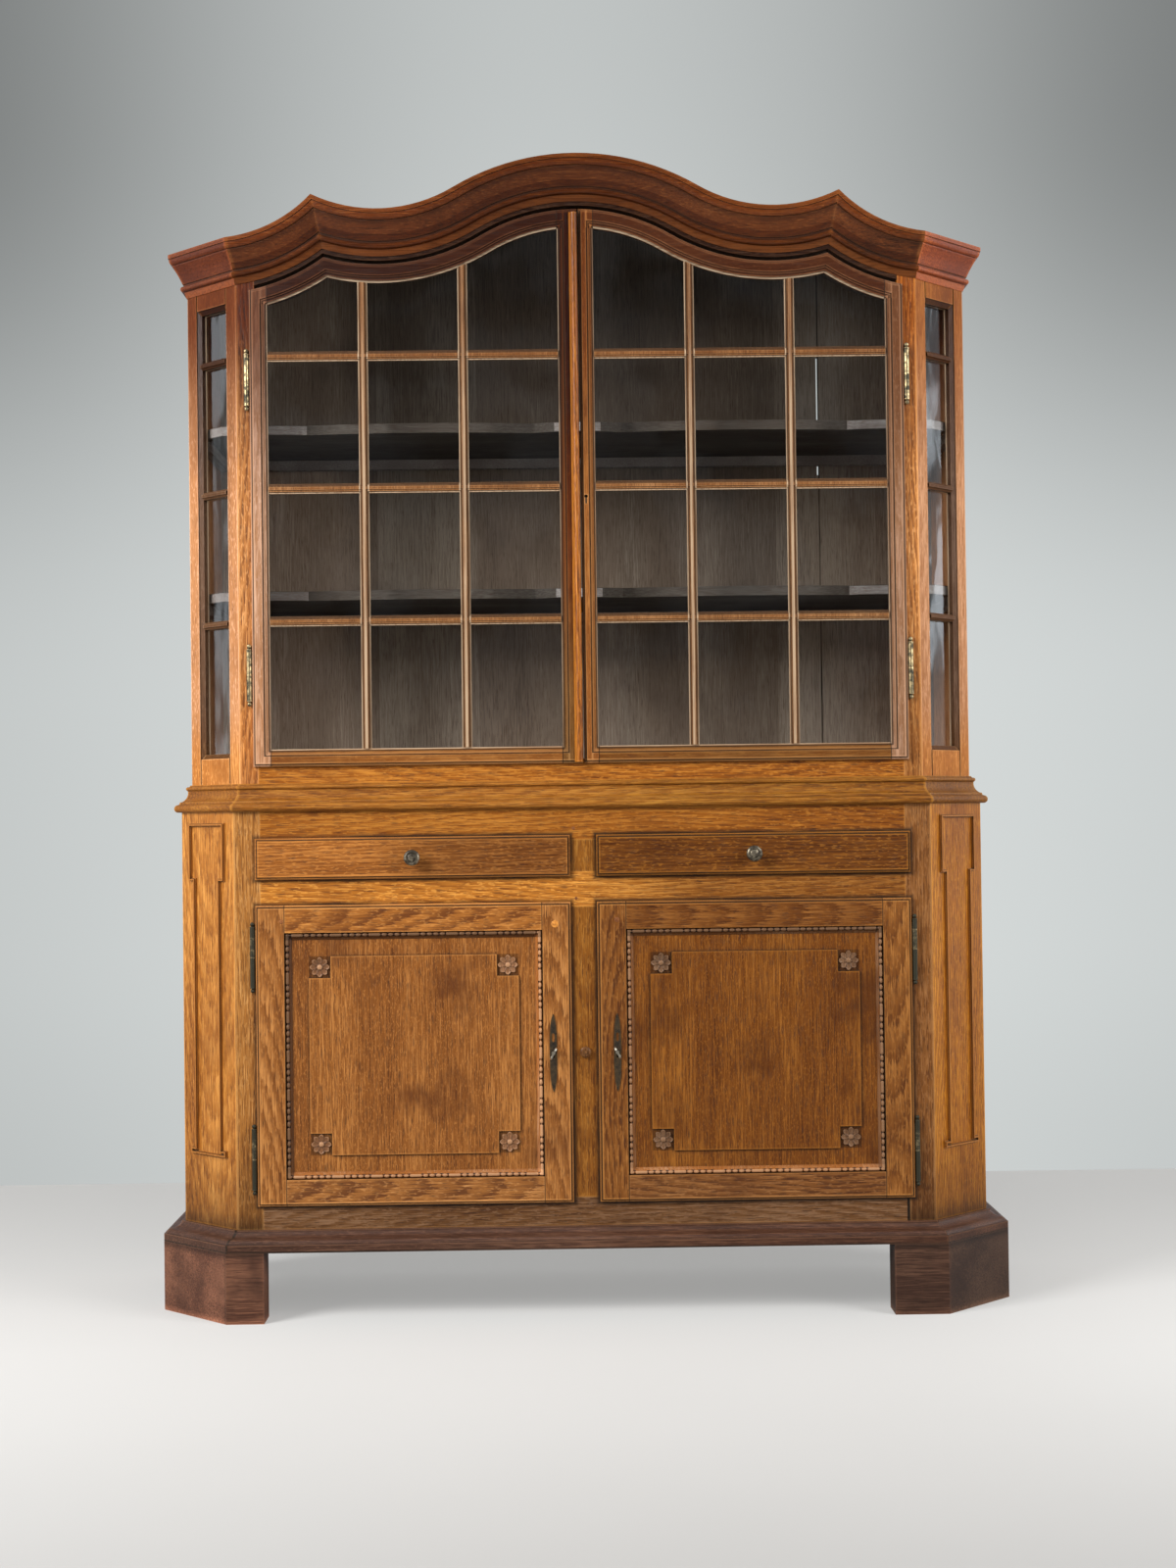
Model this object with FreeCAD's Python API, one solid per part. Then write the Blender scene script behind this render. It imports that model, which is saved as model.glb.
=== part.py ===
import FreeCAD
import Part
import math
import os

V = FreeCAD.Vector
os.makedirs("parts", exist_ok=True)

# Lower case, millimetres, front towards -Y, floor at z = 0
base_half_width = 797.0
case_depth = 440.0
base_cant = 120.0
base_stile_show = 41.5
side_thickness = 20.0
frame_thickness = 24.0
board_thickness = 18.0
back_thickness = 12.0
foot_height = 135.0
foot_left_face = 72.0
foot_right_face = 104.0
foot_side_run = 64.0
foot_depth = 69.0
rear_foot_width = 92.0
rear_foot_depth = 70.0
plinth_height = 38.0
plinth_projection = 40.0
bottom_rail_show = 46.0
base_door_height = 580.0
mid_rail_show = 50.0
drawer_height = 80.0
top_rail_show = 53.0
centre_show = 51.0
base_floor_step = 6.0
back_board_count = 8

# Upper case
upper_setback = 20.0
upper_side_setback = 19.0
upper_cant = 112.0
upper_stile_show = 27.0
waist_height = 54.0
waist_projection = 34.0
upper_rail_show = 33.0
upper_floor_step = 4.0
total_height = 2255.0
cornice_height = 85.0
cornice_projection = 36.0
arch_low_x = 386.0
arch_drop = 105.0
ear_x = 514.0
ear_rise = 29.5
shoulder_drop = 83.0
shoulder_sag = 16.5
frieze_depth = 93.0
frieze_top_cover = 6.0
wall_gap = 2.0
roof_cover = 20.0
roof_thickness = 14.0
light_gap_x = 517.5
light_gap = 4.0
light_gap_length = 253.0
light_gap_drop = 153.5
past_gap_board_count = 2

# Display shelves, at shares of the glazed door's side height
shelf_low_share = 0.3545
shelf_high_share = 0.709
shelf_thickness = 19.0
shelf_front_gap = 60.0
shelf_side_gap = 4.0
shelf_wall_gap = 1.0
shelf_cusp_in = 87.0
shelf_cusp_out = 538.0
shelf_bow = 18.0
batten_width = 20.0
batten_height = 20.0
batten_front_gap = 10.0

# Lipped edges of doors and drawers
lip_thickness = 12.0
lip_overlap = 9.0
lip_gap = 0.5
body_clearance = 1.5
edge_step_one = 1.6
edge_step_two = 4.8
edge_drop_one = 4.6
edge_drop_two = 2.4

# Glazed doors
upper_body = 14.0
upper_stile = 35.0
upper_bottom_rail = 33.0
upper_top_rail = 36.0
door_top_gap = 9.0
meet_x = 4.0
meet_gap = 2.6
meet_stile_left = 39.5
meet_stile_right = 28.5
meeting_bead_width = 16.0
meeting_bead_height = 8.0
meeting_bead_low_gap = 2.0
meeting_bead_top_gap = 8.0
sash_moulding = 13.0
sash_drop_one = 2.5
sash_drop_two = 4.5
sash_drop_three = 7.0
sash_rebate = 6.0
bar_width = 19.0
bar_round_drop = 3.2
bar_fillet_drop = 5.0
bar_shoulder_drop = 8.0
bar_tongue = 4.0
bar_back_gap = 2.0
bar_row_share = 0.298
glass_thickness = 3.0
pane_clearance = 1.0

# Panelled doors
base_body = 18.0
base_stile = 56.0
base_top_rail = 53.0
base_low_rail = 51.0
bead_width = 14.0
bead_height = 7.8
panel_margin = 32.0
panel_notch = 42.0
panel_ground_drop = 9.0
panel_thickness = 10.0
panel_tongue = 8.0
groove_clearance = 0.4
field_rise = 4.0
rosette_radius = 20.0
rosette_height = 7.2

# Drawers
drawer_side = 12.0
drawer_bottom = 7.0
drawer_bottom_rise = 6.0
drawer_back_drop = 4.0
drawer_back_gap = 34.0
drawer_box_clearance = 3.0
drawer_box_height = 54.0
drawer_lift = 1.0
runner_thickness = 20.0
runner_width = 26.0
guide_width = 16.0
guide_height = 24.0
guide_clearance = 2.0

# Corner lights and bead frames on the lower corners
light_inner_stile = 40.0
light_outer_stile = 38.0
light_bottom_rail = 114.0
light_top_frieze = 117.0
light_chamfer = 9.0
light_chamfer_front = 2.5
light_chamfer_back = 7.0
light_glass_depth = 18.0
light_bar = 14.0
light_bar_front = 2.0
light_bar_mid = 5.0
light_bar_back_gap = 2.0
strip_width = 14.0
strip_low_height = 3.2
strip_high_height = 6.0
strip_inset_wide = 28.0
strip_inset_narrow = 42.0
strip_top_drop = 22.0
strip_step_drop = 136.0
strip_foot_rise = 136.0
strip_foot_height = 14.0

# Hinges; the upper ones stand at shares of the glazed door's side height
pivot_out = 6.5
pivot_front = 6.0
upper_hinge_length = 123.0
upper_hinge_radius = 5.1
upper_hinge_low_share = 0.1912
upper_hinge_high_share = 0.811
base_hinge_length = 138.0
base_hinge_radius = 4.7
base_hinge_drop = 100.0
base_hinge_rise = 90.0
hinge_end_share = 2.7
pin_radius = 3.0
pin_clearance = 0.06
pin_share = 0.7
pin_end_gap = 0.5
knuckle_gap = 0.3
leaf_thickness = 2.0
leaf_reach = 15.0
leaf_root = 2.0
leaf_middle_gap = 4.0
leaf_end_gap = 18.0
leaf_slot_clearance = 0.2

# Knobs, button, locks and keys
knob_radius = 15.5
knob_length = 27.0
knob_shank_radius = 2.8
knob_shank_length = 22.0
knob_clearance = 0.2
button_radius = 11.0
button_length = 11.0
button_pin_radius = 2.9
button_pin_length = 11.5
button_clearance = 0.1
escutcheon_length = 150.0
escutcheon_width = 14.5
escutcheon_slot_radius = 2.6
escutcheon_thickness = 1.6
lock_share = 0.49828
lock_inset = 36.5
lock_width = 46.0
lock_tall = 84.0
lock_depth = 18.0
lock_recess = 2.0
lock_edge_gap = 2.0
lock_wall = 3.0
bolt_rise = 13.0
bolt_height = 14.0
bolt_thickness = 7.0
bolt_throw = 10.0
bolt_setback = 1.0
bolt_clearance = 0.4
bolt_post_gap = 0.8
key_radius = 2.4
key_clearance = 0.4
key_front = 6.0
key_collar_radius = 3.6
key_collar_length = 2.5
key_collar_front = 4.0
key_ring_radius = 9.0
key_ring_hole = 5.4
key_ring_spread = 4.0
key_ring_thickness = 3.2
key_ring_lap = 2.0
key_end_gap = 2.0
key_bit_height = 9.0
key_bit_length = 6.0
key_bit_thickness = 2.6
key_bit_end = 3.0
key_slot_width = 3.6
key_bit_clearance = 1.0
key_tilt = 28.0
upper_key_share = 0.5533
upper_key_side = 9.25
upper_key_radius = 3.4
upper_key_rise = 5.0
upper_key_slot = 3.4
upper_key_drop = 9.0
upper_lock_height = 72.0
upper_lock_depth = 12.0
upper_lock_gap = 0.5
upper_lock_side_gap = 2.0

# How far cutting shapes reach past the piece they cut
cut_reach = 200.0
mitre_reach = 80.0

# Levels and planes that follow from the sizes above
tan_mitre = math.tan(math.radians(22.5))
root2 = math.sqrt(2.0)
diag = 1.0 / root2
y_back = (case_depth + plinth_projection) / 2.0
y_base = y_back - case_depth
y_upper = y_base + upper_setback
y_inner_back = y_back - back_thickness
y_frame_back = y_base + frame_thickness
base_arris = base_half_width - base_cant
base_front_half = base_arris - base_stile_show
upper_half_width = base_half_width - upper_side_setback
upper_arris = upper_half_width - upper_cant
upper_front_half = upper_arris - upper_stile_show
z_base = foot_height + plinth_height
z_door_low = z_base + bottom_rail_show
z_door_top = z_door_low + base_door_height
z_drawer_low = z_door_top + mid_rail_show
z_drawer_top = z_drawer_low + drawer_height
z_case = z_drawer_top + top_rail_show
z_waist = z_case + waist_height
z_upper_door = z_waist + upper_rail_show
door_offset = frieze_depth + door_top_gap
sight_offset = door_offset + upper_top_rail
base_open = base_front_half - lip_overlap
centre_half = centre_show / 2.0
post_half = centre_half + lip_overlap
upper_open = upper_front_half - lip_overlap
z_open_low = z_door_low + lip_overlap
z_open_top = z_door_top - lip_overlap
z_draw_low = z_drawer_low + lip_overlap
z_draw_top = z_drawer_top - lip_overlap
lock_z = z_door_low + base_door_height * lock_share

# Arched cornice line: crown arc, reversed arcs, ears and shoulder arcs
arch_turn = 2.0 * math.atan(arch_drop / arch_low_x)
swan_radius = ((ear_x - arch_low_x) ** 2 + ear_rise ** 2) / (2.0 * ear_rise)
crown_radius = arch_low_x / math.sin(arch_turn) - swan_radius
crown_z = total_height - crown_radius
swan_z = total_height - arch_drop + swan_radius
corner_x = upper_arris + cornice_projection * tan_mitre
ear_z = total_height - arch_drop + ear_rise
corner_z = ear_z - shoulder_drop
chord_x = corner_x - ear_x
chord = math.hypot(chord_x, shoulder_drop)
shoulder_radius = (chord * chord / 4.0 + shoulder_sag ** 2) / (2.0 * shoulder_sag)
shoulder_reach = shoulder_radius - shoulder_sag
shoulder_x = (ear_x + corner_x) / 2.0 + shoulder_drop / chord * shoulder_reach
shoulder_z = (ear_z + corner_z) / 2.0 + chord_x / chord * shoulder_reach
z_walls = corner_z - frieze_top_cover - wall_gap


def ear_point(d):
    """Ear of the line lying d below the cornice edge: two circles crossing."""
    ra = swan_radius + d
    rb = shoulder_radius + d
    dx = shoulder_x - arch_low_x
    dz = shoulder_z - swan_z
    gap = math.hypot(dx, dz)
    a = (ra * ra - rb * rb + gap * gap) / (2.0 * gap)
    h = math.sqrt(ra * ra - a * a)
    mx = arch_low_x + a * dx / gap
    mz = swan_z + a * dz / gap
    return mx + h * dz / gap, mz - h * dx / gap


def joint_x(d):
    """Where the crown arc of the line d meets the reversed arc."""
    return (crown_radius - d) * math.sin(arch_turn)


def arch_piece(x, d):
    """Arc that holds x: 0 crown, 1 reversed arc, 2 shoulder."""
    a = abs(x)
    if a <= joint_x(d):
        return 0
    return 1 if a <= ear_point(d)[0] else 2


def piece_z(x, d, piece):
    """Height of one arc of the line d."""
    a = abs(x)
    if piece == 0:
        return crown_z + math.sqrt((crown_radius - d) ** 2 - a * a)
    if piece == 1:
        return swan_z - math.sqrt((swan_radius + d) ** 2 - (a - arch_low_x) ** 2)
    return shoulder_z - math.sqrt((shoulder_radius + d) ** 2 - (a - shoulder_x) ** 2)


def arch_z(x, d):
    """Height of the line lying d below the cornice edge."""
    return piece_z(x, d, arch_piece(x, d))


def side_level(share):
    """Level at a share of the glazed door's height, measured at its hinge side."""
    return z_upper_door + share * (arch_z(upper_front_half, door_offset) - z_upper_door)


def arch_edges(d, xa, xb):
    """Arcs of the line lying d below the cornice edge, from xa to xb at y = 0."""
    ear = ear_point(d)[0]
    joint = joint_x(d)
    least = 0.01
    stops = [s for s in (-ear, -joint, joint, ear) if xa + least < s < xb - least]
    stops = [xa] + stops + [xb]
    edges = []
    for x0, x1 in zip(stops[:-1], stops[1:]):
        middle = (x0 + x1) / 2.0
        piece = arch_piece(middle, d)
        edges.append([V(x, 0.0, piece_z(x, d, piece)) for x in (x0, middle, x1)])
    return edges


def chain(edges, extra):
    """Closed face from joined three-point arcs and the corner points after them."""
    shapes = []
    for k, (p, q, r) in enumerate(edges):
        start = edges[k - 1][2] if k else p
        shapes.append(Part.Arc(start, q, r).toShape())
    last = edges[-1][2]
    for point in extra + [edges[0][0]]:
        if isinstance(point, tuple):
            shapes.append(Part.Arc(last, point[0], point[1]).toShape())
            last = point[1]
        else:
            shapes.append(Part.makeLine(last, point))
            last = point
    return Part.Face(Part.Wire(shapes))


def arch_sheet(d, xa, xb, z_low):
    """Face under the line d, square at the bottom, in the plane y = 0."""
    return chain(arch_edges(d, xa, xb), [V(xb, 0.0, z_low), V(xa, 0.0, z_low)])


def arch_band(d_top, d_low, xa, xb):
    """Face between two lines of the arch, in the plane y = 0."""
    back = [V(xb, 0.0, arch_z(xb, d_low))]
    for p, q, r in reversed(arch_edges(d_low, xa, xb)):
        back.append((q, p))
    return chain(arch_edges(d_top, xa, xb), back)


def slab(face, y0, y1):
    """Front-view face drawn out from y0 to y1."""
    solid = face.extrude(V(0.0, y1 - y0, 0.0))
    solid.translate(V(0.0, y0, 0.0))
    return solid


def box(x0, x1, y0, y1, z0, z1):
    return Part.makeBox(x1 - x0, y1 - y0, z1 - z0, V(x0, y0, z0))


def rod(radius, x, z, y0, y1):
    """Round rod along Y."""
    return Part.makeCylinder(radius, y1 - y0, V(x, y0, z), V(0.0, 1.0, 0.0))


def plan(points, z0, z1):
    """Plan polygon of (x, y) drawn up from z0 to z1."""
    loop = [V(x, y, z0) for x, y in points]
    return Part.Face(Part.makePolygon(loop + loop[:1])).extrude(V(0.0, 0.0, z1 - z0))


def front(points, y0, y1):
    """Front-view polygon of (x, z) drawn back from y0 to y1."""
    loop = [V(x, y0, z) for x, z in points]
    return Part.Face(Part.makePolygon(loop + loop[:1])).extrude(V(0.0, y1 - y0, 0.0))


def mirrored(shape):
    return shape.mirror(V(0.0, 0.0, 0.0), V(1.0, 0.0, 0.0))


def fused(shapes):
    """One clean shape from several that touch."""
    whole = shapes[0]
    if len(shapes) > 1:
        whole = whole.multiFuse(shapes[1:])
    whole = whole.removeSplitter()
    return whole.Solids[0] if len(whole.Solids) == 1 else whole


def save(name, shapes):
    """Write one node's solids."""
    solids = []
    for shape in shapes:
        solids += shape.Solids
    whole = solids[0] if len(solids) == 1 else Part.makeCompound(solids)
    whole.exportStep("parts/" + name + ".step")


def outline(half, y_front, cant, p):
    """Plan of a case with 45 degree front corners, grown outwards by p."""
    arris = half - cant + p * tan_mitre
    turn = y_front + cant - p * tan_mitre
    side = half + p
    right = [(arris, y_front - p), (side, turn), (side, y_back)]
    left = [(-x, y) for x, y in reversed(right)]
    return left + right


def sized(profile, height, width):
    """Profile given in shares, as (share of height, share of width), in millimetres."""
    return [tuple((a * height, b * width) for a, b in item) if isinstance(item[0], tuple)
            else (item[0] * height, item[1] * width) for item in profile]


def profile_face(profile, place):
    """Face from a profile of corner pairs; a pair of pairs is an arc's middle and end."""
    shapes = []
    first = place(*profile[0])
    last = first
    for item in profile[1:]:
        if isinstance(item[0], tuple):
            end = place(*item[1])
            shapes.append(Part.Arc(last, place(*item[0]), end).toShape())
        else:
            end = place(*item)
            shapes.append(Part.makeLine(last, end))
        last = end
    shapes.append(Part.makeLine(last, first))
    return Part.Face(Part.Wire(shapes))


def backwards(profile):
    """The same profile drawn from its other end."""
    points = [item[1] if isinstance(item[0], tuple) else item for item in profile]
    drawn = [points[-1]]
    for k in range(len(profile) - 1, 0, -1):
        arc = isinstance(profile[k][0], tuple)
        drawn.append((profile[k][0], points[k - 1]) if arc else points[k - 1])
    return drawn


def mitred_runs(profile, half, y_front, cant, z_top, which):
    """Straight mouldings round a case; profile of (drop below z_top, projection)."""
    inner = outline(half, y_front, cant, -mitre_reach)
    outer = outline(half, y_front, cant, mitre_reach)
    base = outline(half, y_front, cant, 0.0)
    runs = []
    for k in which:
        ax, ay = base[k]
        bx, by = base[k + 1]
        length = math.hypot(bx - ax, by - ay)
        tx, ty = (bx - ax) / length, (by - ay) / length
        nx, ny = ty, -tx
        sx, sy = ax - tx * cut_reach, ay - ty * cut_reach

        def place(d, p):
            return V(sx + nx * p, sy + ny * p, z_top - d)

        bar = profile_face(profile, place).extrude(V(tx, ty, 0.0) * (length + 2.0 * cut_reach))
        keep = [inner[k], outer[k], outer[k + 1], inner[k + 1]]
        runs.append(bar.common(plan(keep, z_top - cut_reach, z_top + cut_reach)))
    return runs


# Feet: two canted blocks in front, two posts behind
def front_foot(face):
    out = outline(base_half_width, y_base, base_cant, plinth_projection)
    cx, cy = out[3]
    sx, sy = out[4]
    ends = [(cx - face, cy), (cx, cy), (sx, sy), (sx, sy + foot_side_run)]
    inner = [(sx - foot_depth, sy + foot_side_run), (cx - face, cy + foot_depth)]
    return plan(ends + inner, 0.0, foot_height)


plinth_half = base_half_width + plinth_projection
rear_foot_y = y_back - rear_foot_depth
rear_foot = box(plinth_half - rear_foot_width, plinth_half, rear_foot_y, y_back, 0.0, foot_height)
front_feet = [mirrored(front_foot(foot_left_face)), front_foot(foot_right_face)]
save("feet", front_feet + [mirrored(rear_foot), rear_foot])

# Plinth moulding: fillet below, cyma above, in shares of its height and projection
plinth_inner = -frame_thickness / plinth_projection
plinth_shares = [
    (0.0, plinth_inner), (0.0, 0.175), (0.08, 0.175),
    ((0.24, 0.3), (0.36, 0.55)), ((0.47, 0.84), (0.6, 0.9)),
    (0.6, 1.0), (1.0, 1.0), (1.0, plinth_inner),
]
plinth_profile = sized(plinth_shares, plinth_height, plinth_projection)
save("plinth_moulding", mitred_runs(plinth_profile, base_half_width, y_base, base_cant, z_base, range(5)))

# Lower case boards
base_in = outline(base_half_width, y_base, base_cant, -frame_thickness)
base_out = outline(base_half_width, y_base, base_cant, 0.0)
base_wall = base_half_width - side_thickness
side_plan = [base_out[4], base_out[5], (base_wall, y_back), (base_wall, base_in[4][1]), base_in[4]]
base_side = plan(side_plan, z_base, z_case)
base_corner = plan([base_out[3], base_out[4], base_in[4], base_in[3]], z_base, z_case)


def case_floor(inner, wall):
    """Plan inside the walls, front frame and back boards of a case."""
    half = [inner[3], inner[4], (wall, inner[4][1]), (wall, y_inner_back)]
    return [(-x, y) for x, y in reversed(half)] + half


base_floor_top = z_open_low - base_floor_step
save("base_sides", [mirrored(base_side), base_side])
save("base_corners", [mirrored(base_corner), base_corner])
base_plan = case_floor(base_in, base_wall)
save("base_floor", [plan(base_plan, base_floor_top - board_thickness, base_floor_top)])
save("base_top", [plan(base_plan, z_case - board_thickness, z_case)])


def boards(x0, x1, count):
    """Edges of equal boards butted side by side."""
    width = (x1 - x0) / count
    return [(x0 + k * width, x0 + (k + 1) * width) for k in range(count)]


base_backs = []
for a, b in boards(-base_wall, base_wall, back_board_count):
    base_backs.append(box(a, b, y_inner_back, y_back, z_base, z_case))
save("base_back_boards", base_backs)

# Hinge lines
y_pivot_base = y_base - pivot_front
x_pivot_base = base_front_half + pivot_out
base_hinge_zs = (z_door_low + base_hinge_rise, z_door_top - base_hinge_drop)
y_pivot_upper = y_upper - pivot_front
x_pivot_upper = upper_front_half + pivot_out
upper_hinge_zs = (side_level(upper_hinge_low_share), side_level(upper_hinge_high_share))


def frame_leaf(x, y, z, length, grow):
    """Leaf of the fixed half, let straight back into the stile."""
    t = leaf_thickness / 2.0 + grow
    top = z - leaf_middle_gap + grow
    low = z - length / 2.0 + leaf_end_gap - grow
    return box(x - t, x + t, y + leaf_root, y + pivot_front + leaf_reach + grow, low, top)


def door_leaf(x, y, z, length, grow):
    """Leaf of the moving half, let into the edge of the right-hand door's lip."""
    t = leaf_thickness / 2.0 + grow
    top = z + length / 2.0 - leaf_end_gap + grow
    low = z + leaf_middle_gap - grow
    return box(x - pivot_out - leaf_reach - grow, x - leaf_root, y - t, y + t, low, top)


def front_stile(inner_edge, out, inn, y_front, z0, z1, pivot_x, pivot_y, levels, length):
    """Right-hand front stile of a case with pockets for its hinge leaves."""
    stile = plan([(inner_edge, y_front), out[3], inn[3], (inner_edge, y_front + frame_thickness)], z0, z1)
    for z in levels:
        stile = stile.cut(frame_leaf(pivot_x, pivot_y, z, length, leaf_slot_clearance))
    return stile


# Lower face frame
base_stile_right = front_stile(base_open, base_out, base_in, y_base, z_base, z_case,
                               x_pivot_base, y_pivot_base, base_hinge_zs, base_hinge_length)
save("base_stiles", [mirrored(base_stile_right), base_stile_right])
rail_levels = ((z_base, z_open_low), (z_open_top, z_draw_low), (z_draw_top, z_case))
save("base_rails", [box(-base_open, base_open, y_base, y_frame_back, a, b) for a, b in rail_levels])
door_post = box(-post_half, post_half, y_base, y_frame_back, z_open_low, z_open_top)
button_hole = button_pin_radius + button_clearance
button_end = y_base + button_pin_length + button_clearance
door_post = door_post.cut(rod(button_hole, 0.0, lock_z, y_base, button_end))
drawer_post = box(-post_half, post_half, y_base, y_frame_back, z_draw_low, z_draw_top)
save("base_centre_posts", [door_post, drawer_post])


def turned(profile, x, y, z):
    """Solid turned about a line along Y; profile of (radius, distance in front of y)."""
    def place(r, f):
        return V(x + r, y - f, z)
    return profile_face(profile, place).revolve(V(x, y, z), V(0.0, 1.0, 0.0), 360.0)


button_pin = [(0.0, -button_pin_length), (button_pin_radius, -button_pin_length), (button_pin_radius, 0.0)]
button_head = sized([
    (0.75, 0.0), (0.75, 0.18), (1.0, 0.27), ((0.93, 0.62), (0.6, 0.8)),
    (0.3, 0.82), (0.25, 1.0), (0.0, 1.0),
], button_radius, button_length)
save("centre_button", [turned(button_pin + button_head, 0.0, y_base, lock_z)])


# Bead frames on the canted lower corners
def cant_solid(points, arris, y_front, v0, v1):
    """Polygon of (u along the right cant, z) drawn inwards from depth v0 to v1."""
    def place(u, z):
        return V(arris + (u - v0) * diag, y_front + (u + v0) * diag, z)
    loop = [place(u, z) for u, z in points]
    return Part.Face(Part.makePolygon(loop + loop[:1])).extrude(V(-diag, diag, 0.0) * (v1 - v0))


def strip_loop(inset):
    """Bead frame line: wide head, narrow body, small foot, taken inwards by inset."""
    length = base_cant * root2
    a = strip_inset_wide + inset
    b = strip_inset_narrow + inset
    head = z_case - strip_top_drop - inset
    step = z_case - strip_step_drop + inset
    foot = z_base + strip_foot_rise + strip_foot_height - inset
    low = z_base + strip_foot_rise + inset
    right = [(a, head), (a, step), (b, step), (b, foot), (a, foot), (a, low)]
    return right + [(length - u, z) for u, z in reversed(right)]


def strip_ring(inset, width, height):
    outer = cant_solid(strip_loop(inset), base_arris, y_base, -height, 0.0)
    inner = cant_solid(strip_loop(inset + width), base_arris, y_base, -2.0 * height, height)
    return outer.cut(inner)


bead_low = strip_ring(0.0, strip_width * 0.44, strip_low_height)
bead_high = strip_ring(strip_width * 0.12, strip_width * 0.2, strip_high_height)
bead_frame = fused([bead_low, bead_high])
save("base_corner_mouldings", [mirrored(bead_frame), bead_frame])

# Drawer runners with side guides
box_out = base_open - body_clearance - drawer_box_clearance
box_in = post_half + body_clearance + drawer_box_clearance
guide_top = z_draw_low + guide_height
runner_low = z_draw_low - runner_thickness


def runner(x0, x1, g0, g1):
    section = [(x0, runner_low), (x1, runner_low), (x1, z_draw_low), (g1, z_draw_low),
               (g1, guide_top), (g0, guide_top), (g0, z_draw_low), (x0, z_draw_low)]
    return front(section, y_frame_back, y_inner_back)


guide_face = box_out + guide_clearance
guide_far = guide_face + guide_width
outer_runner = runner(guide_face - runner_width, guide_far, guide_face, guide_far)
mid_face = box_in - guide_clearance
mid_runner = runner(-mid_face - runner_width, mid_face + runner_width, -mid_face, mid_face)
save("drawer_runners", [mirrored(outer_runner), mid_runner, outer_runner])

# Waist moulding round the foot of the upper case
waist_profile = sized([
    (0.0, 0.0), (0.0, 0.09), (0.07, 0.18), ((0.12, 0.34), (0.2, 0.265)), (0.23, 0.235),
    ((0.42, 0.28), (0.62, 0.6)), (0.62, 0.68), (0.7, 0.72), (0.72, 0.8),
    ((0.86, 1.0), (1.0, 0.8)), (1.0, 0.0),
], waist_height, waist_projection)
save("waist_moulding", mitred_runs(waist_profile, upper_half_width, y_upper, upper_cant, z_waist, range(5)))

# Upper case boards
upper_out = outline(upper_half_width, y_upper, upper_cant, 0.0)
upper_in = outline(upper_half_width, y_upper, upper_cant, -frame_thickness)
upper_wall = upper_half_width - side_thickness
wall_plan = [upper_out[4], upper_out[5], (upper_wall, y_back), (upper_wall, upper_in[4][1]), upper_in[4]]
upper_side = plan(wall_plan, z_case, z_walls)
save("upper_sides", [mirrored(upper_side), upper_side])
upper_plan = case_floor(upper_in, upper_wall)
z_upper_open = z_upper_door + lip_overlap
upper_floor_top = z_upper_open - upper_floor_step
save("upper_floor", [plan(upper_plan, upper_floor_top - board_thickness, upper_floor_top)])
y_upper_back = y_upper + frame_thickness
roof_face = arch_band(roof_cover, roof_cover + roof_thickness, -upper_wall, upper_wall)
roof = slab(roof_face, y_upper_back, y_inner_back)
save("upper_roof", [roof.common(plan(upper_plan, z_case, total_height))])
# One joint of the back boards has opened over part of its height and lets light through
gap_left = light_gap_x - light_gap / 2.0
gap_right = light_gap_x + light_gap / 2.0
gap_top = corner_z - light_gap_drop
light_slot = box(gap_left, gap_right, y_inner_back, y_back, gap_top - light_gap_length, gap_top)
board_edges = boards(-upper_wall, gap_right, back_board_count - past_gap_board_count)
board_edges += boards(gap_right, upper_wall, past_gap_board_count)
upper_backs = []
for a, b in board_edges:
    upper_backs.append(slab(arch_sheet(roof_cover, a, b, z_case), y_inner_back, y_back).cut(light_slot))
save("upper_back_boards", upper_backs)

# Upper face frame, frieze and bottom rail
upper_stile_right = front_stile(upper_open, upper_out, upper_in, y_upper, z_case, z_walls,
                                x_pivot_upper, y_pivot_upper, upper_hinge_zs, upper_hinge_length)
save("upper_stiles", [mirrored(upper_stile_right), upper_stile_right])
save("upper_bottom_rail", [box(-upper_open, upper_open, y_upper, y_upper_back, z_case, z_upper_open)])
frieze_face = arch_band(frieze_top_cover, frieze_depth, -upper_open, upper_open)
save("frieze", [slab(frieze_face, y_upper, y_upper_back)])

# Cornice: one profile swept along the arcs and round the returns
cornice_profile = sized([
    (0.0, 0.0), (0.0, 1.0), (0.094, 1.0), (0.094, 0.945), ((0.165, 0.94), (0.235, 0.833)),
    (0.241, 0.764), (0.271, 0.764), ((0.518, 0.42), (0.67, 0.25)),
    (0.67, 0.19), (0.718, 0.19), ((0.782, 0.37), (0.847, 0.22)),
    (0.859, 0.16), ((0.953, 0.09), (1.0, 0.042)), (1.0, 0.0),
], cornice_height, cornice_projection)
ear_overrun = 0.12
shoulder_overrun = 0.16
ear_line_step = 10.0
ear_line_start = -20.0
ear_line_count = 20


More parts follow.
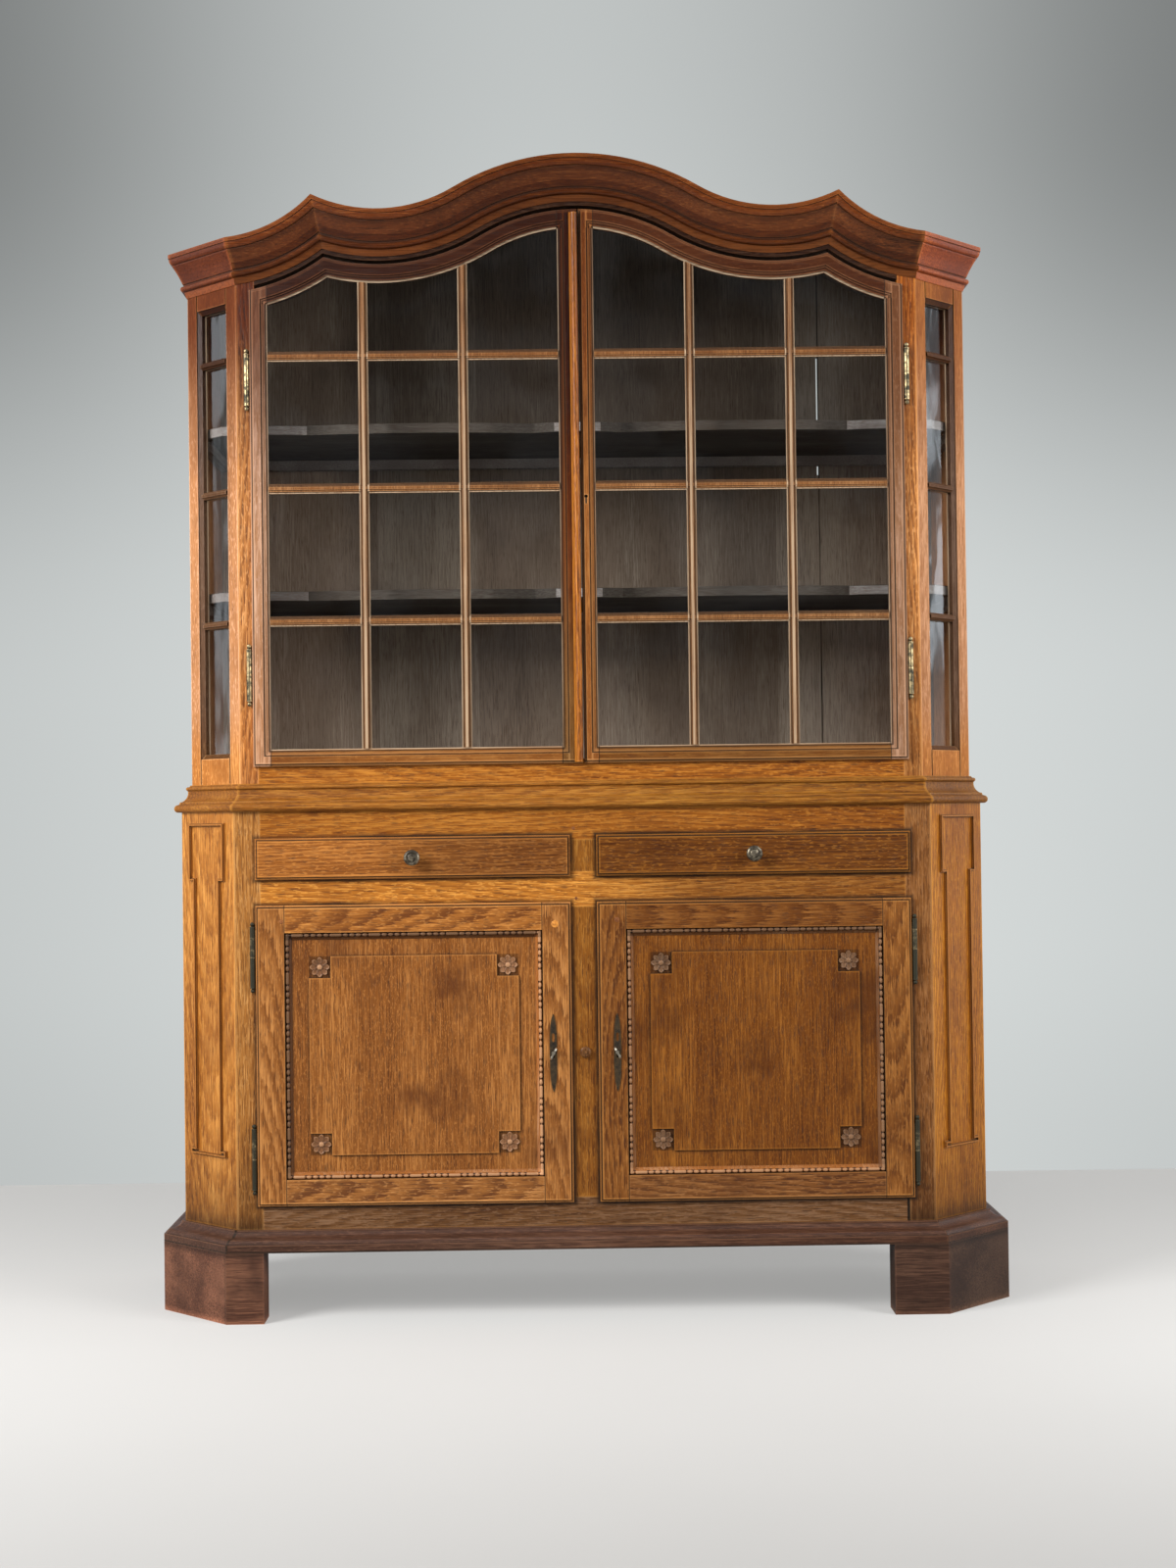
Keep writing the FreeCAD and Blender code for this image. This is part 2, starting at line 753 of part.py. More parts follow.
def arch_sweep(profile, y_face):
    """Profile of (d, p) turned along crown, right-hand reversed arc and right-hand shoulder."""
    def crown_place(d, p):
        r = crown_radius - d
        return V(-r * math.sin(arch_turn), y_face - p, crown_z + r * math.cos(arch_turn))

    crown = profile_face(profile, crown_place).revolve(
        V(0.0, 0.0, crown_z), V(0.0, 1.0, 0.0), 2.0 * math.degrees(arch_turn))
    ear_turn = math.asin((ear_x - arch_low_x) / swan_radius) + ear_overrun

    def swan_place(d, p):
        r = swan_radius + d
        return V(arch_low_x - r * math.sin(arch_turn), y_face - p, swan_z - r * math.cos(arch_turn))

    swan = profile_face(profile, swan_place).revolve(
        V(arch_low_x, 0.0, swan_z), V(0.0, -1.0, 0.0), math.degrees(arch_turn + ear_turn))
    start = math.asin((shoulder_x - ear_x) / shoulder_radius) + shoulder_overrun
    stop = math.asin((upper_half_width - shoulder_x) / shoulder_radius)

    def shoulder_place(d, p):
        r = shoulder_radius + d
        return V(shoulder_x - r * math.sin(start), y_face - p, shoulder_z - r * math.cos(start))

    shoulder = profile_face(profile, shoulder_place).revolve(
        V(shoulder_x, 0.0, shoulder_z), V(0.0, -1.0, 0.0), math.degrees(start + stop))
    line = [ear_point(ear_line_start + ear_line_step * k) for k in range(ear_line_count)]
    far = upper_half_width + cut_reach
    high = line[0][1] + cut_reach
    low = line[-1][1] - cut_reach
    zone = [(line[0][0], high)] + line + [(line[-1][0], low), (far, low), (far, high)]
    outside = front(zone, y_face - cut_reach, y_face + cut_reach)
    return crown, swan.cut(outside), shoulder.common(outside)


crown, swan, shoulder = arch_sweep(cornice_profile, y_upper)
mitre_in = outline(upper_half_width, y_upper, upper_cant, -mitre_reach)
mitre_out = outline(upper_half_width, y_upper, upper_cant, mitre_reach)
front_zone = plan([mitre_in[2], mitre_out[2], mitre_out[3], mitre_in[3]], z_case, total_height + cut_reach)
shoulder = shoulder.common(front_zone)
crest = fused([mirrored(swan), crown, swan])
save("cornice_front", [crest, mirrored(shoulder), shoulder])
return_runs = (0, 1, 3, 4)
save("cornice_returns",
     mitred_runs(cornice_profile, upper_half_width, y_upper, upper_cant, corner_z, return_runs))

# Canted corner lights: two stiles, two rails and three bars each, with four panes
cant_length = upper_cant * root2
glass_u0 = light_inner_stile
glass_u1 = cant_length - light_outer_stile
light_z0 = z_case + light_bottom_rail
light_z1 = z_walls - light_top_frieze
sight_low = z_upper_door + upper_bottom_rail
bar_row = bar_row_share * (arch_z(upper_front_half - upper_stile, sight_offset) - sight_low)
bar_levels = [sight_low + bar_row * (k + 1) - bar_width / 2.0 for k in range(3)]


def cant_plan(points, z0, z1):
    """Plan polygon of (u, v) on the right cant, drawn up from z0 to z1."""
    return plan([(upper_arris + (u - v) * diag, y_upper + (u + v) * diag) for u, v in points], z0, z1)


def cant_rail(points, u0, u1):
    """Section of (v, z) on the right cant, drawn along it from u0 to u1."""
    def place(v, z):
        return V(upper_arris + (u0 - v) * diag, y_upper + (u0 + v) * diag, z)
    loop = [place(v, z) for v, z in points]
    return Part.Face(Part.makePolygon(loop + loop[:1])).extrude(V(diag, diag, 0.0) * (u1 - u0))


def sash_section(edge, sight, way, lap):
    """Section of a light's frame as (across, depth): from edge to sight, way points out of the glass."""
    flat = sight + way * light_chamfer
    rebate = sight + way * sash_rebate
    return [(edge, 0.0), (flat, 0.0), (flat, light_chamfer_front), (sight, light_chamfer_back),
            (sight, light_glass_depth), (rebate, light_glass_depth), (rebate, frame_thickness),
            (edge + way * -lap, frame_thickness)]


mitre_lap = frame_thickness * tan_mitre
inner_stile = cant_plan(sash_section(0.0, glass_u0, -1.0, mitre_lap), z_case, z_walls)
outer_stile = cant_plan(sash_section(cant_length, glass_u1, 1.0, mitre_lap), z_case, z_walls)
rail_u0 = glass_u0 - sash_rebate
rail_u1 = glass_u1 + sash_rebate
light_parts = [inner_stile, outer_stile]
for edge, sight, way in ((z_case, light_z0, -1.0), (z_walls, light_z1, 1.0)):
    section = [(depth, level) for level, depth in sash_section(edge, sight, way, 0.0)]
    light_parts.append(cant_rail(section, rail_u0, rail_u1).cut(inner_stile).cut(outer_stile))
for z in bar_levels:
    h = light_bar / 2.0
    t = bar_tongue / 2.0
    back = frame_thickness - light_bar_back_gap
    upper_half = [(light_bar_front, h * 0.4), (light_bar_mid, h * 0.6), (light_chamfer_back, h),
                  (light_glass_depth, h), (light_glass_depth, t), (back, t)]
    section = [(v, z + up) for v, up in upper_half] + [(v, z - up) for v, up in reversed(upper_half)]
    light_parts.append(cant_rail(section, glass_u0, glass_u1))
save("corner_light_right", light_parts)
save("corner_light_left", [mirrored(s) for s in light_parts])
pane_lap = sash_rebate - pane_clearance
tongue_gap = bar_tongue / 2.0 + pane_clearance


def pane_stops(low, high, middles):
    """Pairs of pane edges between the bars."""
    stops = [low]
    for m in middles:
        stops += [m - tongue_gap, m + tongue_gap]
    stops.append(high)
    return list(zip(stops[0::2], stops[1::2]))


panes = []
pane_back = light_glass_depth + glass_thickness
pane_plan = [(glass_u0 - pane_lap, light_glass_depth), (glass_u1 + pane_lap, light_glass_depth),
             (glass_u1 + pane_lap, pane_back), (glass_u0 - pane_lap, pane_back)]
for z0, z1 in pane_stops(light_z0 - pane_lap, light_z1 + pane_lap, bar_levels):
    panes.append(cant_plan(pane_plan, z0, z1))
save("corner_glass", [mirrored(s) for s in panes] + panes)

# Display shelves with shallow bows between cusps, on battens
shelf_y = y_upper + shelf_front_gap
shelf_edge = upper_in[3][0] + shelf_front_gap - frame_thickness - shelf_side_gap
shelf_wall = upper_wall - shelf_wall_gap
turn_y = shelf_y + (shelf_wall - shelf_edge)


def bowed_shelf(z):
    """Shelf whose front edge bows forward between cusps, drawn up from z."""
    y_cusp = shelf_y + shelf_bow
    y_outer = shelf_y + shelf_bow / 2.0
    end_x = shelf_edge + shelf_bow
    stops = [-end_x, -shelf_cusp_out, -shelf_cusp_in, shelf_cusp_in, shelf_cusp_out, end_x]
    fronts = [y_outer, shelf_y, shelf_y, shelf_y, y_outer]
    edges = []
    for a, b, y_front in zip(stops[:-1], stops[1:], fronts):
        middle = V((a + b) / 2.0, y_front, z)
        edges.append(Part.Arc(V(a, y_cusp, z), middle, V(b, y_cusp, z)).toShape())
    corners = [(end_x, y_cusp), (shelf_wall, turn_y), (shelf_wall, y_inner_back),
               (-shelf_wall, y_inner_back), (-shelf_wall, turn_y), (-end_x, y_cusp)]
    for (ax, ay), (bx, by) in zip(corners[:-1], corners[1:]):
        edges.append(Part.makeLine(V(ax, ay, z), V(bx, by, z)))
    return Part.Face(Part.Wire(edges)).extrude(V(0.0, 0.0, shelf_thickness))


shelf_levels = (side_level(shelf_low_share), side_level(shelf_high_share))
save("display_shelves", [bowed_shelf(z) for z in shelf_levels])
battens = []
batten_in = upper_wall - batten_width
for z in shelf_levels:
    low = z - batten_height
    side_batten = box(batten_in, upper_wall, turn_y + batten_front_gap, y_inner_back, low, z)
    back_batten = box(-batten_in, batten_in, y_inner_back - batten_width, y_inner_back, low, z)
    battens += [mirrored(side_batten), side_batten, back_batten]
save("shelf_battens", battens)


# Pin hinges with turned ends; the fixed half carries the pin
def spindle(x, y, profile):
    """Solid turned about a vertical line; profile of (radius, z)."""
    def place(r, z):
        return V(x + r, y, z)
    return profile_face(profile, place).revolve(V(x, y, 0.0), V(0.0, 0.0, 1.0), 360.0)


def finial(r, z, way):
    """Turned end of a hinge: collar, neck and ball, from the barrel end outwards."""
    shares = [(1.0, 0.0), (1.0, 0.2), ((1.1, 0.43), (1.0, 0.67)), (0.5, 0.76), (0.5, 0.98),
              ((0.86, 1.75), (0.42, 2.48)), (0.0, 2.6)]
    drawn = []
    for item in sized(shares, r, way * r):
        if isinstance(item[0], tuple):
            drawn.append(tuple((a, z + b) for a, b in item))
        else:
            drawn.append((item[0], z + item[1]))
    return drawn


def hinge_halves(x, y, z, length, r):
    """Fixed lower half with pin and leaf, moving upper half with bore and leaf, right-hand side."""
    low = z - length / 2.0 + r * hinge_end_share
    top = z + length / 2.0 - r * hinge_end_share
    pin_top = z + (top - z) * pin_share
    joint = knuckle_gap / 2.0
    bore = pin_radius + pin_clearance
    bore_top = pin_top + pin_end_gap
    fixed = backwards(finial(r, low, -1.0))
    fixed += [(r, z - joint), (pin_radius, z - joint), (pin_radius, pin_top), (0.0, pin_top)]
    moving = [(0.0, bore_top), (bore, bore_top), (bore, z + joint), (r, z + joint)]
    moving += finial(r, top, 1.0)
    fixed_half = fused([spindle(x, y, fixed), frame_leaf(x, y, z, length, 0.0)])
    hollow = Part.makeCylinder(bore, bore_top - z - joint, V(x, y, z + joint))
    moving_half = fused([spindle(x, y, moving), door_leaf(x, y, z, length, 0.0).cut(hollow)])
    return fixed_half, moving_half


upper_hinges = [hinge_halves(x_pivot_upper, y_pivot_upper, z, upper_hinge_length, upper_hinge_radius)
                for z in upper_hinge_zs]
base_hinges = [hinge_halves(x_pivot_base, y_pivot_base, z, base_hinge_length, base_hinge_radius)
               for z in base_hinge_zs]
fixed_halves = [pair[0] for pair in upper_hinges + base_hinges]
save("hinge_frame_halves", [mirrored(s) for s in fixed_halves] + fixed_halves)
for name, hinges in (("upper_door", upper_hinges), ("base_door", base_hinges)):
    save(name + "_right_hinges", [pair[1] for pair in hinges])
    save(name + "_left_hinges", [mirrored(pair[1]) for pair in hinges])


# Glazed doors: one outline worked in layers, parted into stiles and rails
def layer(x0, x1, z0, d, inset, y0, y1):
    """Door-shaped slab under the arch line d, taken in by inset all round."""
    return slab(arch_sheet(d + inset, x0 + inset, x1 - inset, z0 + inset), y0, y1)


def stile_zone(edge, sight, z_edge, y0, y1):
    """Front-view zone of one stile, mitred at the sash moulding, from edge to sight."""
    way = 1.0 if edge > sight else -1.0
    m = sash_moulding
    far = edge + way * cut_reach
    flat = sight + way * m
    z_sight = z_edge + upper_bottom_rail
    low = z_edge - cut_reach
    points = [(far, low), (flat, low), (flat, z_sight - m), (sight, z_sight),
              (sight, arch_z(sight, sight_offset)), (flat, arch_z(flat, sight_offset - m)),
              (flat, total_height), (far, total_height)]
    return front(points, y0 - cut_reach, y1 + cut_reach)


def glazed_door(name, x0, x1, stile0, stile1, lips):
    """Frame, bars and panes of a door from x0 to x1; lips are the overlaps at left and right."""
    z0 = z_upper_door
    d = door_offset
    y_face = y_upper - lip_thickness
    y_lip = y_upper - lip_gap
    y_rear = y_upper + upper_body
    step0 = y_face + edge_drop_two
    step1 = y_face + edge_drop_one
    plate = layer(x0, x1, z0, d, 0.0, step1, y_lip)
    plate = plate.fuse(layer(x0, x1, z0, d, edge_step_one, step0, step1))
    plate = plate.fuse(layer(x0, x1, z0, d, edge_step_two, y_face, step0))
    inset = lip_overlap + body_clearance
    body_x0 = x0 + (inset if lips[0] else 0.0)
    body_x1 = x1 - (inset if lips[1] else 0.0)
    plate = plate.fuse(slab(arch_sheet(d, body_x0, body_x1, z0 + inset), y_lip, y_rear))
    s0 = x0 + stile0
    s1 = x1 - stile1
    zs = z0 + upper_bottom_rail
    m = sash_moulding
    cuts = ((m, y_face - cut_reach, y_face + sash_drop_one),
            (m * 0.72, y_face + sash_drop_one, y_face + sash_drop_two),
            (m * 0.3, y_face + sash_drop_two, y_face + sash_drop_three),
            (0.0, y_face + sash_drop_three, y_upper),
            (sash_rebate, y_upper, y_rear + cut_reach))
    for grow, ya, yb in cuts:
        plate = plate.cut(layer(s0, s1, zs, sight_offset, -grow, ya, yb))
    left_zone = stile_zone(x0, s0, z0, y_face, y_rear)
    right_zone = stile_zone(x1, s1, z0, y_face, y_rear)
    members = [plate.common(left_zone), plate.common(right_zone)]
    members += plate.cut(left_zone).cut(right_zone).Solids
    steps = ((bar_width, y_face + bar_shoulder_drop, y_upper),
             (bar_width * 0.66, y_face + bar_fillet_drop, y_face + bar_shoulder_drop),
             (bar_width * 0.3, y_face + bar_round_drop, y_face + bar_fillet_drop),
             (bar_tongue, y_upper, y_rear - bar_back_gap))
    pitch = (s1 - s0 + bar_width) / 3.0
    columns = [s0 + pitch * (k + 1) - bar_width / 2.0 for k in range(2)]
    lattice = []
    for width, ya, yb in steps:
        h = width / 2.0
        lattice += [box(x - h, x + h, ya, yb, zs, total_height) for x in columns]
        lattice += [box(s0, s1, ya, yb, z - h, z + h) for z in bar_levels]
    whole = fused(lattice).common(layer(s0, s1, zs, sight_offset, 0.0, y_face, y_rear))
    y_glass = y_upper + glass_thickness
    limit = layer(s0, s1, zs, sight_offset, -pane_lap, y_upper, y_glass)
    sheets = []
    for a, b in pane_stops(s0 - pane_lap, s1 + pane_lap, columns):
        for za, zb in pane_stops(zs - pane_lap, total_height, bar_levels):
            sheets.append(limit.common(box(a, b, y_upper, y_glass, za, zb)))
    save(name + "_bars", [fused(whole.Solids)])
    save(name + "_glass", sheets)
    return members


x_meet_left = meet_x - meet_gap / 2.0
x_meet_right = meet_x + meet_gap / 2.0
left_members = glazed_door("upper_door_left", -upper_front_half, x_meet_left, upper_stile,
                           meet_stile_left, (True, False))
right_members = glazed_door("upper_door_right", x_meet_right, upper_front_half, meet_stile_right,
                            upper_stile, (False, True))
for z in upper_hinge_zs:
    slot = door_leaf(x_pivot_upper, y_pivot_upper, z, upper_hinge_length, leaf_slot_clearance)
    left_members[0] = left_members[0].cut(mirrored(slot))
    right_members[1] = right_members[1].cut(slot)

# Meeting bead on the left door, lock with its keyhole on the right door
y_glazed_face = y_upper - lip_thickness
y_glazed_rear = y_upper + upper_body
bead_x0 = x_meet_left - meeting_bead_width
bead_z0 = z_upper_door + meeting_bead_low_gap
bead_z1 = arch_z(bead_x0, door_offset) - meeting_bead_top_gap


def bead_place(f, x):
    return V(bead_x0 + x, y_glazed_face - f, bead_z0)


bead_profile = sized([
    (0.0, 0.0), (0.0, 1.0), (0.35, 1.0), ((1.0, 0.62), (0.5, 0.25)), (0.4, 0.2), (0.4, 0.0),
], meeting_bead_height, meeting_bead_width)
meeting_bead = profile_face(bead_profile, bead_place).extrude(V(0.0, 0.0, bead_z1 - bead_z0))
back_pad = box(bead_x0, x_meet_left, y_glazed_face, y_glazed_face + edge_drop_one, bead_z0, bead_z1)
save("meeting_bead", [fused([meeting_bead, back_pad.cut(left_members[1])])])
key_level = side_level(upper_key_share)
key_x = x_meet_right + upper_key_side
hole = rod(upper_key_radius, key_x, key_level + upper_key_rise, y_upper - cut_reach, y_upper + cut_reach)
hole = hole.fuse(box(key_x - upper_key_slot / 2.0, key_x + upper_key_slot / 2.0, y_upper - cut_reach,
                     y_upper + cut_reach, key_level - upper_key_drop, key_level + upper_key_rise))
right_members[0] = right_members[0].cut(hole)
save("upper_door_left_frame", left_members)
save("upper_door_right_frame", right_members)
upper_lock_x1 = x_meet_right + meet_stile_right - sash_rebate - upper_lock_side_gap
half_lock = upper_lock_height / 2.0
upper_lock = box(x_meet_right + upper_lock_gap, upper_lock_x1, y_glazed_rear,
                 y_glazed_rear + upper_lock_depth, key_level - half_lock, key_level + half_lock)
save("upper_door_right_lock", [upper_lock.cut(hole)])


# Lower doors and drawers share one lipped slab
def lipped_slab(x0, x1, z0, z1, y_rear):
    """Slab with a stepped lip in front of the frame and a body behind it."""
    y_face = y_base - lip_thickness
    y_lip = y_base - lip_gap
    inset = lip_overlap + body_clearance
    steps = ((0.0, y_face + edge_drop_one, y_lip),
             (edge_step_one, y_face + edge_drop_two, y_face + edge_drop_one),
             (edge_step_two, y_face, y_face + edge_drop_two),
             (inset, y_lip, y_rear))
    return fused([box(x0 + a, x1 - a, ya, yb, z0 + a, z1 - a) for a, ya, yb in steps])


def frame_strips(x0, x1, z0, z1, y_seat, profile):
    """Four mitred strips inside a rectangle; profile of (height, distance in from the edge)."""
    strips = []
    corners = [(x0, z0), (x1, z0), (x1, z1), (x0, z1)]
    for k in range(4):
        ax, az = corners[k]
        bx, bz = corners[(k + 1) % 4]
        tx = (bx > ax) - (bx < ax)
        tz = (bz > az) - (bz < az)
        nx, nz = -tz, tx

        def place(h, w):
            return V(ax + nx * w, y_seat - h, az + nz * w)

        run = math.hypot(bx - ax, bz - az)
        strip = profile_face(profile, place).extrude(V(tx * run, 0.0, tz * run))
        deep = bead_width * 2.0
        zone = [(ax, az), (bx, bz), (bx + (nx - tx) * deep, bz + (nz - tz) * deep),
                (ax + (nx + tx) * deep, az + (nz + tz) * deep)]
        strips.append(strip.common(front(zone, y_seat - cut_reach, y_seat + cut_reach)))
    return strips


strip_profile = sized([
    (0.0, 0.0), (1.0, 0.0), (1.0, 0.14), ((1.077, 0.5), (0.45, 0.82)), (0.256, 1.0), (0.0, 1.0),
], bead_height, bead_width)
petal_profile = sized([
    (0.0, 0.0), (1.0, 0.0), (0.95, 0.35), ((0.66, 0.7), (0.36, 0.42)),
    ((0.27, 0.89), (0.05, 1.0)), (0.0, 1.0),
], rosette_radius, rosette_height)


def escutcheon(x, z, y):
    """Long leaf-shaped plate in shares of its half length and half width, with a slot above the key."""
    long_half = escutcheon_length / 2.0
    wide_half = escutcheon_width / 2.0

    def at(up, out):
        return V(x + wide_half * out, y, z + long_half * up)

    def quarter(up, out):
        flank = Part.Arc(at(0.0, out), at(0.35 * up, 0.97 * out), at(0.62 * up, 0.83 * out)).toShape()
        tip = Part.Arc(at(0.62 * up, 0.83 * out), at(0.83 * up, 0.56 * out), at(up, 0.08 * out)).toShape()
        return [flank, tip]

    edges = []
    for up, out in ((1.0, 1.0), (1.0, -1.0), (-1.0, -1.0), (-1.0, 1.0)):
        edges += quarter(up, out)
    for up in (1.0, -1.0):
        edges.append(Part.makeLine(at(up, 0.08), at(up, -0.08)))
    outline = Part.Wire(Part.__sortEdges__(edges))
    plate = Part.Face(outline).extrude(V(0.0, -escutcheon_thickness, 0.0))
    r = escutcheon_slot_radius
    low = z + long_half * 0.32
    top = z + long_half * 0.47
    for level in (low, top):
        plate = plate.cut(rod(r, x, level, y - cut_reach, y + cut_reach))
    return plate.cut(box(x - r, x + r, y - cut_reach, y + cut_reach, low, top))


def key_solid(x, z, y_plate, y_end):
    """Round shank with a collar, an oval ring bow in front and a bit inside the lock, turned by key_tilt."""
    shank = rod(key_radius, x, z, y_plate - key_front, y_end)
    y_collar = y_plate - key_collar_front
    collar = rod(key_collar_radius, x, z, y_collar, y_collar + key_collar_length)
    y_ring = y_plate - key_front - key_ring_radius + key_ring_lap
    half = key_ring_thickness / 2.0

    def oval(radius):
        """Disc of that radius drawn out upwards and downwards by the ring's spread."""
        parts = [box(x - half, x + half, y_ring - radius, y_ring + radius,
                     z - key_ring_spread, z + key_ring_spread)]
        for way in (-key_ring_spread, key_ring_spread):
            start = V(x - half, y_ring, z + way)
            parts.append(Part.makeCylinder(radius, key_ring_thickness, start, V(1.0, 0.0, 0.0)))
        return fused(parts)

    ring = oval(key_ring_radius).cut(oval(key_ring_hole))
    bit_end = y_end - key_bit_end
    flank = key_bit_thickness / 2.0
    bit = box(x - flank, x + flank, bit_end - key_bit_length, bit_end, z - key_bit_height, z)
    return fused([shank, collar, ring, bit]).rotated(V(x, 0.0, z), V(0.0, 1.0, 0.0), -key_tilt)


def panelled_doors():
    """Right-hand lower door with its lock, key and bolt; the left door is its mirror image."""
    x0 = centre_half
    x1 = base_front_half
    z0 = z_door_low
    z1 = z_door_top
    y_face = y_base - lip_thickness
    y_rear = y_base + base_body
    body_x0 = x0 + lip_overlap + body_clearance
    plate = lipped_slab(x0, x1, z0, z1, y_rear)
    s0 = x0 + base_stile
    s1 = x1 - base_stile
    t0 = z0 + base_low_rail
    t1 = z1 - base_top_rail
    plate = plate.cut(box(s0, s1, y_face - cut_reach, y_rear + cut_reach, t0, t1))
    y_ground = y_face + panel_ground_drop
    y_panel = y_ground + panel_thickness
    k = panel_tongue
    deep = panel_tongue + groove_clearance
    plate = plate.cut(box(s0 - deep, s1 + deep, y_ground, y_panel, t0 - deep, t1 + deep))
    case_x0 = body_x0 + lock_edge_gap
    case_x1 = case_x0 + lock_width
    case_y0 = y_rear - lock_recess
    case_y1 = case_y0 + lock_depth
    case_z0 = lock_z - lock_tall / 2.0
    case_z1 = lock_z + lock_tall / 2.0
    key_axis = x0 + lock_inset
    key_hole = rod(key_radius + key_clearance, key_axis, lock_z, y_face - cut_reach, case_y0 + key_bit_end)
    half_slot = key_slot_width / 2.0
    slot_low = lock_z - key_bit_height - key_bit_clearance
    key_hole = key_hole.fuse(box(key_axis - half_slot, key_axis + half_slot, y_face - cut_reach,
                                 case_y0, slot_low, lock_z))
    lock_pocket = box(case_x0, case_x1, case_y0, y_rear + cut_reach, case_z0, case_z1)
    plate = plate.cut(lock_pocket).cut(key_hole)
    for z in base_hinge_zs:
        leaf = door_leaf(x_pivot_base, y_pivot_base, z, base_hinge_length, leaf_slot_clearance)
        plate = plate.cut(leaf)

    def part_between(xa, xb):
        zone = box(xa, xb, y_face - cut_reach, y_rear + cut_reach, z0 - cut_reach, z1 + cut_reach)
        return plate.common(zone)

    frame = [part_between(x0 - cut_reach, s0), part_between(s1, x1 + cut_reach)]
    frame += part_between(s0, s1).Solids
    panel = box(s0 - k, s1 + k, y_ground, y_panel, t0 - k, t1 + k)
    g = bead_width + panel_margin
    f0, f1, h0, h1 = s0 + g, s1 - g, t0 + g, t1 - g
    n = panel_notch
    cross = [(f0 + n, h0), (f1 - n, h0), (f1 - n, h0 + n), (f1, h0 + n), (f1, h1 - n), (f1 - n, h1 - n),
             (f1 - n, h1), (f0 + n, h1), (f0 + n, h1 - n), (f0, h1 - n), (f0, h0 + n), (f0 + n, h0 + n)]
    panel = fused([panel, front(cross, y_ground - field_rise, y_ground)])
    carving = frame_strips(s0, s1, t0, t1, y_ground, strip_profile)
    r = n / 2.0
    for cx, cz in ((f0 + r, h0 + r), (f1 - r, h0 + r), (f1 - r, h1 - r), (f0 + r, h1 - r)):
        carving.append(turned(petal_profile, cx, y_ground, cz))
    scutcheon = escutcheon(key_axis, lock_z, y_face).cut(key_hole)
    bolt_y0 = y_frame_back + bolt_post_gap
    bolt_y1 = bolt_y0 + bolt_thickness
    bolt_z0 = lock_z + bolt_rise
    bolt_z1 = bolt_z0 + bolt_height
    gap = bolt_clearance
    channel = box(case_x0 - cut_reach, case_x1 - lock_wall, bolt_y0 - gap, bolt_y1 + gap,
                  bolt_z0 - gap, bolt_z1 + gap)
    y_end = case_y1 - key_end_gap
    bit_end = y_end - key_bit_end
    bit_start = bit_end - key_bit_length
    sweep = rod(key_bit_height + key_bit_clearance, key_axis, lock_z, bit_start - key_bit_clearance,
                bit_end + key_bit_clearance)
    shaft = rod(key_radius + key_clearance, key_axis, lock_z, case_y0 - cut_reach, y_end + key_clearance)
    case = box(case_x0, case_x1, case_y0, case_y1, case_z0, case_z1).cut(channel).cut(sweep).cut(shaft)
    bolt_x0 = body_x0 + bolt_setback
    bolt_x1 = case_x1 - lock_wall - bolt_clearance
    bolt = box(bolt_x0, bolt_x1, bolt_y0, bolt_y1, bolt_z0, bolt_z1)
    key = key_solid(key_axis, lock_z, y_face - escutcheon_thickness, y_end)
    pieces = {"base_door_SIDE_frame": frame, "base_door_SIDE_panel": [panel],
              "base_door_SIDE_carving": carving, "base_door_SIDE_lock": [case, scutcheon],
              "bolt_SIDE": [bolt], "key_SIDE": [key]}
    for name, shapes in pieces.items():
        save(name.replace("SIDE", "right"), shapes)
        save(name.replace("SIDE", "left"), [mirrored(s) for s in shapes])


panelled_doors()

# Drawers: lipped front, four-board box, turned knob
knob_shank = [(0.0, -knob_shank_length), (knob_shank_radius, -knob_shank_length), (knob_shank_radius, 0.0)]
knob_head = sized([
    (0.62, 0.0), (0.6, 0.075), (0.36, 0.15), (0.34, 0.42), ((0.6, 0.5), (1.0, 0.68)), (1.0, 0.82),
    ((0.86, 0.94), (0.6, 0.97)), (0.55, 0.93), ((0.3, 0.98), (0.06, 1.0)), (0.0, 1.0),
], knob_radius, knob_length)


def drawers():
    """Right-hand drawer; the left one is its mirror image."""
    x0 = centre_half
    x1 = base_front_half
    z0 = z_drawer_low
    z1 = z_drawer_top
    y_face = y_base - lip_thickness
    y_rear = y_base + upper_body
    cx = (x0 + x1) / 2.0
    cz = (z0 + z1) / 2.0
    face = lipped_slab(x0, x1, z0, z1, y_rear)
    face = face.cut(rod(knob_shank_radius + knob_clearance, cx, cz, y_face - cut_reach, y_rear + cut_reach))
    low = z_draw_low + drawer_lift
    top = low + drawer_box_height
    end = y_inner_back - drawer_back_gap
    floor_low = low + drawer_bottom_rise
    floor_top = floor_low + drawer_bottom
    inner0 = box_in + drawer_side
    inner1 = box_out - drawer_side
    tray = [box(box_in, inner0, y_rear, end, low, top),
            box(inner1, box_out, y_rear, end, low, top),
            box(inner0, inner1, y_rear, end, floor_low, floor_top),
            box(inner0, inner1, end - drawer_side, end, floor_top, top - drawer_back_drop)]
    knob = turned(knob_shank + knob_head, cx, y_face, cz)
    pieces = {"front": [face], "box": tray, "knob": [knob]}
    for name, shapes in pieces.items():
        save("drawer_right_" + name, shapes)
        save("drawer_left_" + name, [mirrored(s) for s in shapes])


drawers()
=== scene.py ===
"""Oak display cabinet: finishes, carved trim, pegs and studio stage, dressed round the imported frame."""
import math
import bpy
import numpy as np
from mathutils import Matrix, Vector


